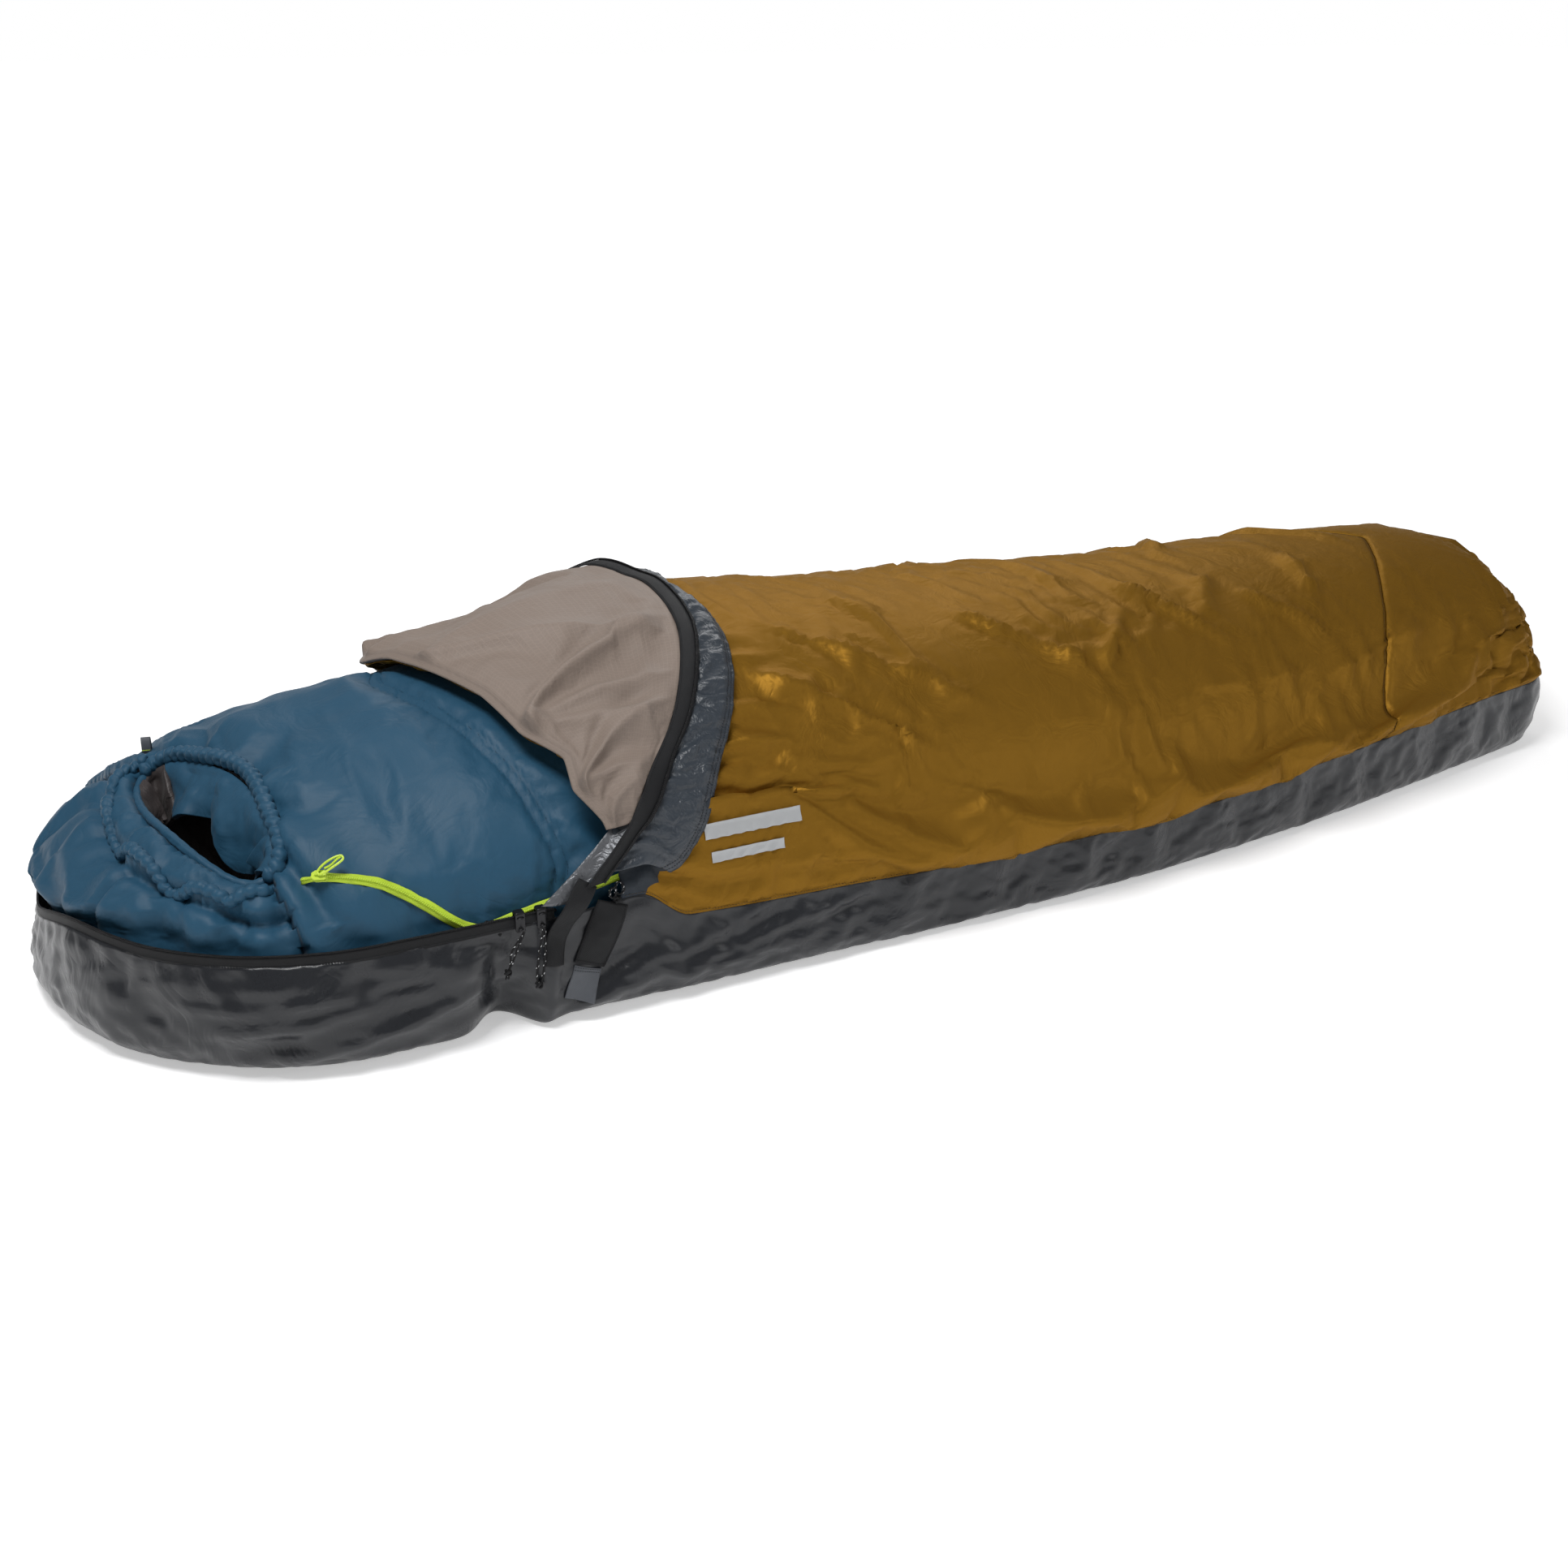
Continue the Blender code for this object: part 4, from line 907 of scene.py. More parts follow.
# creases in plan: start (x, y), end (x, y), width, height before the gain
CREASES = [
    ((0.00, 0.14), (0.34, -0.05), 0.024, 0.019), ((0.34, -0.05), (0.42, -0.20), 0.020, 0.017),
    ((0.12, -0.21), (0.42, -0.17), 0.018, 0.015), ((0.42, -0.17), (0.50, -0.05), 0.016, 0.014),
    ((0.45, 0.15), (0.66, -0.02), 0.020, 0.017), ((0.66, -0.02), (0.62, -0.15), 0.018, 0.014),
    ((0.70, 0.16), (0.80, -0.02), 0.018, 0.012), ((-0.30, 0.10), (0.02, -0.10), 0.024, 0.015),
    ((-0.22, -0.10), (0.05, -0.27), 0.018, 0.015), ((-0.28, -0.18), (-0.05, -0.30), 0.013, 0.012),
    ((0.05, -0.08), (0.20, -0.24), 0.017, 0.014), ((0.20, -0.24), (0.33, -0.11), 0.015, 0.012),
    ((0.30, -0.26), (0.56, -0.25), 0.014, 0.010), ((0.50, -0.10), (0.60, -0.22), 0.015, 0.011),
    ((0.55, -0.26), (0.80, -0.20), 0.016, 0.011), ((-0.1, 0.25), (0.3, 0.22), 0.024, 0.013),
    ((0.3, 0.28), (0.7, 0.2), 0.022, 0.013), ((-0.36, 0.24), (-0.1, 0.3), 0.018, 0.011),
    ((0.1, 0.10), (0.25, 0.28), 0.018, 0.012), ((0.5, 0.05), (0.62, 0.24), 0.018, 0.011)]


def form_object():
    """Smooth form of the sleeping bag, for the canopy to rest on."""
    xs = np.concatenate([np.linspace(-1.045, -0.70, 24), np.linspace(-0.69, 1.0, 70),
                         np.linspace(1.01, 1.045, 5)])
    angle = np.linspace(0, 2 * np.pi, 64, endpoint=False)
    P = bag_ring_points(xs[:, None], angle[None, :], 0.002)
    ob = grid_object("form", P, M["blue"], loop_v=True)
    fix_normals(ob)
    return ob


def canopy_stations(angle):
    """x of every row: hood fold to foot seam, then on to the foot arc and round it."""
    start = (fold_line(angle) + 0.008)[None, :]
    seam = (0.84 - 0.19 * (np.abs(np.cos(angle)) ** ROUND) ** 1.1)[None, :]
    # rows closer together near the hood, where the cloth is gathered
    spread = np.linspace(0, 1, CANOPY_ROWS) ** 1.12
    main = start + (seam - start) * spread[:, None]
    flat_rows = int(FOOT_ROWS * 0.45)
    share = np.linspace(0, 1, flat_rows + 1)[1:]
    panel = seam + (FOOT_ARC_X - seam) * share[:, None]
    turn = np.linspace(0, np.pi / 2, FOOT_ROWS - flat_rows + 1)[1:]
    end = FOOT_ARC_X + FOOT_ARC_LEN * np.sin(turn) ** (2 / FOOT_ARC_POWER)
    end = np.broadcast_to(end[:, None], (len(turn), CANOPY_COLS))
    return np.concatenate([main, panel, end], 0)


def crease(P, start, end, width, height):
    """Height of one soft fold that runs from start to end and fades at both."""
    a, d = np.array(start), np.array(end) - np.array(start)
    t = ((P[..., 0] - a[0]) * d[0] + (P[..., 1] - a[1]) * d[1]) / (d @ d)
    on = np.clip(t, 0, 1)
    dist = np.hypot(P[..., 0] - a[0] - on * d[0], P[..., 1] - a[1] - on * d[1])
    fade = smooth(-0.02, 0.25, t) * smooth(1.02, 0.75, t)
    return height * np.exp(-(dist / width) ** (2.0 / 1.5)) * np.clip(fade, 0, 1)


def canopy_relief(P, angle, print_area):
    """Height of folds and gathers over the smooth canopy."""
    relief = np.zeros(P.shape[:2])
    for start, end, width, height in CREASES:
        relief += crease(P, start, end, width, CREASE_GAIN * height)
    relief += 0.0048 * fbm(P * np.array([5.0, 8.0, 8.0]), 3, 5)
    relief += 0.0034 * ridge(P * np.array([13.0, 8.0, 8.0]), 2, 9)
    # gathers beside the hood band
    arch = arch_x(np.clip(angle[0], math.radians(8), math.radians(172)))
    u = (P[..., 0] - arch[None, :]) / 0.16
    relief += (0.0085 * np.exp(-np.clip(u, 0, 9) * 1.1) * smooth(-0.5, 0.25, u)
               * np.sin(angle * 46 + 3.0 * fbm(P * 14, 2, 3))
               * smooth(0.1, 0.3, np.abs(np.cos(angle))))
    # calmer along the crest and under the reflective print, flat at both sides
    relief *= 1 - 0.60 * np.exp(-((angle - math.radians(97)) / 0.26) ** 2)
    relief *= 1 - 0.92 * print_area
    relief *= np.clip(np.minimum(angle, np.pi - angle) / 0.10, 0, 1)
    return np.clip(relief, -0.004, 0.05)


def build_canopy():
    """One simulated cloth, cut at the foot seam into canopy and foot panel."""
    form = form_object()
    angle = np.linspace(0, np.pi, CANOPY_COLS)
    X = canopy_stations(angle)
    A = np.broadcast_to(angle[None, :], X.shape)
    P = canopy(X, A, 0.0012)
    print_area = (np.exp(-((X + 0.325) / 0.085) ** 6)
                  * np.exp(-((P[..., 2] - 0.177) / 0.032) ** 6) * (P[..., 1] < 0))
    P = P + sheet_normals(P) * canopy_relief(P, A, print_area)[..., None]
    whole = grid_object("canopy", P, M["gold"])
    pin = np.zeros(X.shape)
    pin[0] = 1
    pin[:, 0] = pin[:, -1] = 1
    pin[-3:] = 1
    pin = np.maximum(pin, 0.85 * print_area)
    simulate(whole, 22, pin, swell=0.040, bend=0.35, tension=18, gravity=0.55,
             quality=4, collider=form)
    bpy.data.objects.remove(form)
    P = coords(whole).reshape(P.shape)

    # a shallow tuck along the foot seam
    N = sheet_normals(P)
    rows = np.linalg.norm(np.diff(P, axis=0), axis=-1)
    along = np.concatenate([np.zeros((1, CANOPY_COLS)), np.cumsum(rows, 0)], 0)
    from_seam = along - along[SEAM_ROW][None, :]
    P = P + N * (-0.0022 * np.exp(-(from_seam / 0.006) ** 2))[..., None]

    # the "corner" attribute is positive on the coated cloth beside the hood band
    limited = np.clip(angle, math.radians(7.0), math.radians(173.0))
    edge = arch_x(limited) + 0.024 + 0.058 * np.abs(np.cos(limited)) ** 0.9
    side = np.minimum(angle, np.pi - angle)
    edge = edge - 0.020 * smooth(0.10, 0.0, side)
    corner = ((edge[None, :] - X[:CANOPY_ROWS])
              - 0.5 * smooth(math.radians(32), math.radians(40), side)[None, :])
    body_mat = two_tone("gold_laminate_and_coated_corner", M["gold"], BAND_COLOR, "corner")
    body = grid_object("canopy_cloth", P[:CANOPY_ROWS], body_mat)
    attribute = body.data.attributes.new("corner", "FLOAT", "POINT")
    attribute.data.foreach_set("value", corner.astype(np.float32).ravel())
    foot = grid_object("foot_cloth", P[SEAM_ROW:] + N[SEAM_ROW:] * 0.0007, M["gold"])
    bpy.data.objects.remove(whole)

    threads = []
    for offset in (-0.0045, 0.0045):
        line = np.array([[np.interp(offset, from_seam[:, j], P[:, j, axis])
                          for axis in range(3)] for j in range(2, CANOPY_COLS - 2)])
        line = resample(line, 0.004)
        threads.append(stitches("foot_seam_stitches", line,
                                resample(N[SEAM_ROW, 2:-2], count=len(line)), M["thread"],
                                pitch=0.0036, length=0.0025, radius=0.00035))
    edit_mesh(foot, lambda bm: bmesh.ops.remove_doubles(bm, verts=bm.verts[:], dist=0.0004))
    foot.data.shade_smooth()
    for o in (body, foot):
        fix_normals(o)
        thicken(o)
    place([body], "sack", "body_canopy")
    place([foot], "sack", "foot_panel")
    place(threads, "sack")
    return body, grid_tree(P)


canopy_cloth, canopy_tree = build_canopy()

# ------------------------------------------------------------------ hood flap, lining side out
FLAP_ROWS, FLAP_COLS = 44, 132
TURN_ROWS = 7                 # rows that make the turned edge
TURN_INSET = 0.012            # where the turned edge ends, footwards of the fold
# folds that fan out from the fold's corners: (corner, lean in radians at the arch, height)
FAN = [(0, 0.16, 0.009), (1, 0.34, 0.013), (1, 0.05, 0.008), (2, 0.44, 0.017),
       (2, 0.12, 0.010), (2, -0.10, 0.007), (3, 0.12, 0.013), (3, -0.26, 0.010),
       (4, 0.02, 0.008), (5, -0.14, 0.010), (5, 0.12, 0.008), (6, -0.1, 0.008)]


def flap_lift(P, angle, k):
    """Height of the fanned folds; k runs from 0 at the fold to 1 at the arch."""
    lift = np.zeros(P.shape[:2])
    for corner, lean, height in FAN:
        line = FAN_CORNERS[corner] + lean * k ** 0.8
        d = (angle - line) / (0.022 + 0.046 * k)
        lift += 1.5 * height * np.exp(-np.abs(d) ** 1.1) * (1 - smooth(0.74, 1.0, k))
        lift -= (0.35 * height * np.exp(-((d - 1.8) / 0.9) ** 2) * smooth(0.0, 0.2, k)
                 * (1 - smooth(0.7, 1.0, k)))
    lift += 0.0016 * fbm(P * 16, 3, 77) * smooth(0, 0.15, k) * (1 - smooth(0.85, 1.0, k))
    return np.clip(lift, -0.0050, 0.026) * (1 - 0.55 * smooth(0.35, 0.0, np.abs(np.cos(angle))))


def build_hood_flap():
    scan = np.linspace(math.radians(7.0), math.radians(173.0), 121)
    wide = arch_x(scan) - 0.012 > fold_line(scan) + 0.02
    angle = np.linspace(scan[wide][0], scan[wide][-1], FLAP_COLS)
    arch, front = arch_x(angle), fold_line(angle)
    X = np.zeros((FLAP_ROWS, FLAP_COLS))
    off = np.zeros(X.shape)
    for i in range(FLAP_ROWS):
        if i < TURN_ROWS:
            turn = math.pi * i / (TURN_ROWS - 1)
            X[i] = front + TURN_INSET - 0.0075 * math.sin(turn) - 0.004 * (i == 3)
            off[i] = 0.0026 + 0.0052 * (1 - math.cos(turn))
        else:
            k = (i - TURN_ROWS + 1) / (FLAP_ROWS - TURN_ROWS)
            X[i] = front + TURN_INSET + (arch - 0.010 - front - TURN_INSET) * k
            off[i] = 0.0130 + 0.001 * k + far_lift(angle) * ease((k - 0.45) / 0.55)
    A = np.broadcast_to(angle[None, :], X.shape)
    P = canopy(X, A, off)
    sheet = P[TURN_ROWS - 1:]
    k = np.linspace(0, 1, len(sheet))[:, None]
    P[TURN_ROWS - 1:] += sheet_normals(sheet) * flap_lift(sheet, A[TURN_ROWS - 1:], k)[..., None]
    flap = grid_object("hood_flap_cloth", P, M["taupe"])
    pin = np.zeros(X.shape)
    pin[:TURN_ROWS - 1] = 1
    pin[TURN_ROWS - 1] = 0.9
    pin[-2:] = 1
    pin[:, 0] = pin[:, -1] = 1
    simulate(flap, 12, pin, swell=0.018, bend=0.8, tension=22, gravity=0.05,
             quality=5)
    P = coords(flap).reshape(P.shape)
    # keep the sheet clear of the canopy under it
    floor = canopy(X, A, np.maximum(off - 0.004, 0.002))
    N = sheet_normals(floor)
    depth = ((P - floor) * N).sum(-1)
    free = (np.arange(FLAP_ROWS) >= TURN_ROWS - 1)[:, None, None]
    P = P + N * np.clip(-depth, 0, None)[..., None] * free
    set_coords(flap, P.reshape(-1, 3))
    subdivide(flap)
    fix_normals(flap)
    thicken(flap, 0.0007, 0.0)
    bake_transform(flap)
    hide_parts("hood_flap")


build_hood_flap()

# ------------------------------------------------------------------ zip and band on the hood edge
HOOD_TAPE_WIDTH = 0.024


def build_hood_zip():
    angle = np.linspace(math.radians(7.0), math.radians(173.0), 321)
    edge_x = arch_x(angle)
    wave = 0.0016 * fbm(points(angle * 5), 2, 41)
    rows = []
    for lane in np.linspace(-0.5, 0.5, 9):
        frill = 0.0006 * np.sin(angle * 60 + 4 * wave * 300) * (abs(lane) > 0.4)
        off = (ARCH_OFF + 0.0012 + wave * 1.4 + frill + 0.0016 * (1 - (2 * lane) ** 2)
               + far_lift(angle))
        rows.append(canopy(edge_x + lane * HOOD_TAPE_WIDTH + wave * 1.2, angle, off))
    rows = np.array(rows)
    tape = cloth_sheet("hood_zip_tape_cloth", rows, M["black"], 0.0009)
    N = sheet_normals(rows)
    thread = stitches("hood_tape_stitches", rows[1], N[1], M["thread_dark"], **FINE_STITCH)
    line = canopy(edge_x + 0.0085 + wave * 1.2, angle,
                  ARCH_OFF + 0.0034 + wave * 1.4 + far_lift(angle))
    teeth = zip_teeth("hood_zip", line, N[7], radius=0.0011, pitch=0.0016, wire=0.00034,
                      core=0.0008, teeth_mat=M["coil"], core_mat=M["black"], width=1.25)
    place([tape, thread], "hood", "hood_zip_tape")
    place(teeth, "hood", "hood_zip_coil")


def build_hood_band():
    """Coated band footwards of the tape, with its own ripples."""
    rows = 27
    angle = np.linspace(math.radians(8.5), math.radians(171.5), 361)
    k = np.linspace(0, 1, rows)[:, None]
    width = 0.012 + 0.058 * np.abs(np.cos(angle)) ** 0.9
    A = np.broadcast_to(angle[None, :], (rows, len(angle)))
    X = arch_x(angle)[None, :] + 0.002 + (width + 0.012)[None, :] * k
    ripple = np.sin(A * 62 + 2.6 * fbm(points(A * 6, k * 1.2), 2, 11) * 3.0)
    sharp = ridge(points(A * 26, k * 1.6), 2, 12)
    amount = 0.0024 * np.exp(-((k - 0.30) / 0.30) ** 2) + 0.0012
    off = 0.0105 - 0.0062 * smooth(0.72, 1.0, k) + amount * ripple * 0.55 + 0.0018 * sharp
    off = off + 0.0035 * np.sin(np.clip(k, 0, 1) * np.pi)
    off = np.clip(off, 0.0036, 0.021) + far_lift(A) * smooth(0.55, 0.0, k)
    P = canopy(X + 0.0020 * fbm(points(A * 9), 2, 19) * smooth(0.6, 1, k), A, off)
    P[..., 2] = np.maximum(P[..., 2], 0.115)
    band = cloth_sheet("hood_edge_band_cloth", P, M["band"])
    N = sheet_normals(P)
    threads = [stitches("band_stitches", P[row], N[row], M["thread_dark"], **MEDIUM_STITCH)
               for row in (rows - 3, rows - 5)]
    place([band] + threads, "hood", "hood_edge_band")


build_hood_zip()
build_hood_band()

# ------------------------------------------------------------------ tub floor and its walls
TUB_COLS, TUB_ROWS = ((700, 21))
# wall creases from the zip's end: (slope, starting height share, depth, width)
HEADWARD_CREASES = [(0.30, 0.86, 0.0105, 0.045), (0.46, 0.78, 0.0095, 0.050),
                    (0.75, 0.62, 0.0085, 0.055), (0.20, 0.95, 0.006, 0.04)]
FOOTWARD_CREASES = [(0.55, 0.10, 0.008, 0.06), (0.95, 0.06, 0.008, 0.07),
                    (1.6, 0.04, 0.007, 0.08)]


def outline_points(count):
    """Near side from head to foot and back along the far side, and the length along it."""
    a = np.linspace(0, np.pi / 2, 80)
    head = np.stack([HEAD_ARC_X - HEAD_ARC_LEN * np.cos(a), -SHOULDER_HALF * np.sin(a)], 1)
    xs = np.linspace(HEAD_ARC_X, FOOT_ARC_X, 160)[1:]
    middle = np.stack([xs, -half_width(xs)], 1)
    xs = FOOT_ARC_X + FOOT_ARC_LEN * np.sin(a[1:]) ** (2 / FOOT_ARC_POWER)
    near = np.concatenate([head, middle, np.stack([xs, -half_width(xs)], 1)])
    far = near[-2:0:-1] * np.array([1, -1])
    loop = np.concatenate([near, far, near[:1]])
    along = run_length(loop)
    s = np.linspace(0, along[-1], count, endpoint=False)
    return interp_rows(s, along, loop), s


OUTLINE, OUTLINE_S = outline_points(TUB_COLS)
OUTLINE_X = OUTLINE[:, 0]
outline_t = unit(np.roll(OUTLINE, -1, 0) - np.roll(OUTLINE, 1, 0), guard=0.0)
OUTWARD = np.stack([outline_t[:, 1], -outline_t[:, 0]], 1)


def wall_profile():
    """(inset, height share) rows from the floor's inner edge up to the rim."""
    rows = [(0.060, 0.0), (0.044, 0.0), (0.030, 0.0), (0.019, 0.018), (0.011, 0.055)]
    upper = TUB_ROWS - len(rows)
    for k in range(upper):
        v = (k + 1) / upper
        rows.append((0.009 * max(0.0, 1 - v) ** 1.5 - 0.007 * math.sin(math.pi * v),
                     0.055 + 0.945 * v))
    return rows


def tub_wall():
    """The wall's grid before it is simulated."""
    x = OUTLINE_X
    rim = np.where(x < -0.565, RIM_Z + rim_dip(x, OUTLINE[:, 1]), seam_z(x)) + 0.0005
    P = np.zeros((TUB_ROWS, TUB_COLS, 3))
    profile = wall_profile()
    for i, (inset, share) in enumerate(profile):
        P[i, :, :2] = OUTLINE - OUTWARD * inset
        P[i, :, 2] = 0.0012 + (rim - 0.0012) * share
    h = np.array(profile)[:, 1][:, None]

    def push(direction, amount):
        P[..., :2] += direction[None] * amount[..., None]

    wall = smooth(0.03, 0.2, h) * smooth(1.0, 0.86, h)
    base = smooth(0.9, 0.0, h)
    headward, footward = -0.60 - x, x + 0.575
    # creases that fan down from the zip's end towards the head, then up towards the foot:
    # (distance, direction, run, rise over the run, fade, creases)
    fans = [(headward, -1, 0.132, 0.30,
             smooth(0.0, 0.06, headward) * smooth(0.44, 0.22, headward), HEADWARD_CREASES),
            (footward, 1, 0.10, 0.22,
             smooth(0.0, 0.04, footward) * smooth(0.52, 0.22, footward), FOOTWARD_CREASES)]
    for side in (-1, 1):
        out = OUTWARD * (np.sign(OUTLINE[:, 1]) == side)[:, None]
        # where the zip ends the wall is pinched in and a pleat stands out beside it
        pinch = (-0.038 * np.exp(-((x + 0.628) / 0.030) ** 2) * (0.35 + 0.65 * base)
                 * (1 - smooth(0.86, 1.0, h)))
        pleat = (0.016 * np.exp(-np.abs((x + 0.586 - 0.018 * h) / 0.016) ** 1.4)
                 * (0.25 + 0.75 * base) * (1 - smooth(0.6, 0.97, h)))
        push(out, pinch + pleat)
        for distance, direction, run, rise, fade, creases in fans:
            for slope, start, depth, width in creases:
                line = start + direction * (slope * distance / run * rise)
                push(out, depth * np.exp(-np.abs((h - line) / width) ** 1.5) * fade * wall)
    s, up = OUTLINE_S[None, :], h * 0.13
    crinkle = 0.0036 * fbm(points(s * 15 + up * 24, up * 13), 3, 51)
    crinkle += 0.0036 * ridge(points(s * 15 - up * 46, up * 30 + s * 4), 2, 52)
    crinkle *= (1 - 0.35 * smooth(-0.50, -0.38, x))[None, :]
    gathers = (0.0022 * np.sin(s * 2 * np.pi / 0.034 + 3 * fbm(points(s * 12, up * 12), 2, 53))
               * np.exp(-(1 - h) / 0.16) * smooth(1.0, 0.93, h) * (x < -0.5)[None, :])
    push(OUTWARD, (crinkle + gathers) * wall)
    # the bottom of the wall stands out, most at the head, where the bag spreads the tub
    spread = (0.002 + 0.013 * smooth(-0.92, -1.03, x)
              + 0.005 * smooth(-0.60, -0.45, x) * smooth(0.3, -0.2, x))
    push(OUTWARD, spread[None, :] * smooth(0.75, 0.12, h))
    push(OUTWARD, 0.0055 * fbm(points(s * 6), 2, 54) * smooth(0.14, 0.0, h))
    return P


def build_tub():
    start = tub_wall()
    tub = grid_object("tub_cloth", start, M["slate"], loop_v=True)
    fix_normals(tub)
    pin = np.zeros((TUB_ROWS, TUB_COLS))
    pin[:4] = 1
    pin[-1] = 1
    pin[4] = 0.5
    simulate(tub, 14, pin, swell=0.020, bend=0.9, tension=20, gravity=0.15,
             quality=5)
    P = coords(tub).reshape(start.shape)
    P[..., 2] = np.maximum(P[..., 2], 0.0008)
    P = limit_shift(start, P, 0.016)
    P[..., 2] = np.maximum(P[..., 2], 0.0006)
    set_coords(tub, P.reshape(-1, 3))
    subdivide(tub)
    fix_normals(tub)
    thicken(tub, offset=1.0)
    # floor sheet: the wall's lowest row, drawn in towards the middle
    rows = [P[0]]
    for k in (0.80, 0.55, 0.25, 0.02):
        row = P[0].copy()
        row[:, 1] *= k
        row[:, 0] = row[:, 0] * (0.94 + 0.06 * k)
        row[:, 2] = 0.0010 + 0.0018 * np.abs(fbm(row * 8, 2, 61)) * (k < 0.79)
        rows.append(row)
    floor = cloth_sheet("tub_floor_cloth", np.array(rows), M["slate"], offset=1.0, loop_v=True)
    place([tub, floor], "sack", "tub_floor")
    return BVHTree.FromPolygons([tuple(v) for v in coords(tub)],
                                [tuple(p.vertices) for p in tub.data.polygons])


def build_side_seams():
    """Stitches where the canopy's lower edge laps the tub, and a tape inside along it."""
    threads = []
    near = OUTLINE[:, 1] < 0
    rise = np.array([0, 0, 0.0030])
    for side in (near, ~near):
        sel = np.nonzero((OUTLINE_X > -0.49) & side)[0]
        line = points(OUTLINE[sel, 0], OUTLINE[sel, 1], seam_z(OUTLINE[sel, 0]))
        out = points(OUTWARD[sel, 0], OUTWARD[sel, 1])
        hits = []
        for p, n in zip(line, out):
            hit = canopy_tree.ray_cast(Vector(p + n * 0.05 + rise), Vector(-n), 0.12)[0]
            hits.append(p + n * 0.001 + rise if hit is None else np.array(hit))
        threads.append(stitches("side_seam_stitches", np.array(hits) + out * 0.0003, out,
                                M["thread"], **LONG_STITCH))
    place(threads, "sack")
    sel = np.nonzero(OUTLINE_X > -0.42)[0]
    inner = OUTLINE[sel] - OUTWARD[sel] * 0.0098
    rows = np.array([points(inner[:, 0], inner[:, 1], seam_z(inner[:, 0]) + dz)
                     for dz in (-0.009, -0.003, 0.003, 0.009)])
    tape = cloth_sheet("seam_tape_cloth", rows, M["grey"], 0.0005, 0.0)
    place([tape], "sack", "seam_tape")


def build_rim_zip():
    """Zip half on the tub rim, from the near side round the head to the far side."""
    inset = 0.001
    a = np.linspace(-np.pi / 2, np.pi / 2, 420)
    arc = points(HEAD_ARC_X - (HEAD_ARC_LEN - inset) * np.cos(a),
                 (SHOULDER_HALF - inset) * np.sin(a))
    near = points(np.linspace(RIM_END_X, HEAD_ARC_X, 40)[:-1], -(SHOULDER_HALF - inset))
    far = near[::-1] * np.array([1, -1, 1])
    base = resample(np.concatenate([near, arc, far]), count=700)
    T = tangents(base)
    out = points(-T[:, 1], T[:, 0])
    s = run_length(base)
    sway = (0.0016 * fbm(points(s * 7), 2, 71) * smooth(0, 0.08, s)
            * smooth(s[-1], s[-1] - 0.08, s))
    rows = []
    top_z = 0.1425
    # tape rows: (z, distance outward)
    for z, off in [(0.1295, 0.0016), (0.1325, 0.0012), (0.1360, 0.0004), (0.1395, 0.0),
                   (top_z, -0.0002)]:
        row = base + out * (off + sway)[:, None]
        row[:, 2] = z + rim_dip(row[:, 0], row[:, 1]) + 0.0008 * fbm(points(s * 9, 3), 2, 72)
        rows.append(row)
    tape = cloth_sheet("rim_zip_tape_cloth", np.array(rows), M["black"], 0.0011, 0.0)
    line = base + out * sway[:, None]
    line[:, 2] = 0.1436 + (rows[-1][:, 2] - top_z)
    teeth = zip_teeth("rim_zip", line, (0, 0, 1.0), radius=0.0012, pitch=0.0017, wire=0.00036,
                      core=0.0008, teeth_mat=M["coil"], core_mat=M["black"])
    thread = stitches("rim_tape_stitches", rows[1] + out * 0.0008, out, M["thread_dark"],
                      **FINE_STITCH)
    place([tape, thread], "sack", "rim_zip_tape")
    place(teeth, "sack", "rim_zip_coil")


tub_tree = build_tub()
build_side_seams()
build_rim_zip()

# ------------------------------------------------------------------ sleeping bag
BAG_STEP = 0.0050


def mouth_xy(along, across):
    return MOUTH_C + MOUTH_DIR * along + MOUTH_SIDE * across


def mouth_coords(x, y):
    """Elliptic radius (1 on the mouth's edge), angle from its near end, and plan offsets."""
    dx, dy = x - MOUTH_C[0], y - MOUTH_C[1]
    u = dx * MOUTH_DIR[0] + dy * MOUTH_DIR[1]
    v = dx * MOUTH_SIDE[0] + dy * MOUTH_SIDE[1]
    return np.hypot(u / MOUTH_A, v / MOUTH_B), np.arctan2(v / MOUTH_B, u / MOUTH_A), u, v


def face_mean(values):
    """Mean of the four corners of each face of a grid closed along its columns."""
    values = (values[:-1] + values[1:]) / 2
    return (values + np.roll(values, -1, 1)) / 2


def bag_stations():
    q = np.linspace(0, np.pi / 2, int(0.30 / BAG_STEP * 1.25))
    return np.concatenate([
        HEAD_ARC_X - (HEAD_ARC_LEN - BAG_INSET) * np.cos(q),
        np.arange(HEAD_ARC_X + BAG_STEP, -0.46, BAG_STEP),
        np.linspace(-0.45, 0.96, 54),
        0.96 + (1.0505 - 0.96) * np.sin(np.linspace(0, np.pi / 2, 10)[1:])])


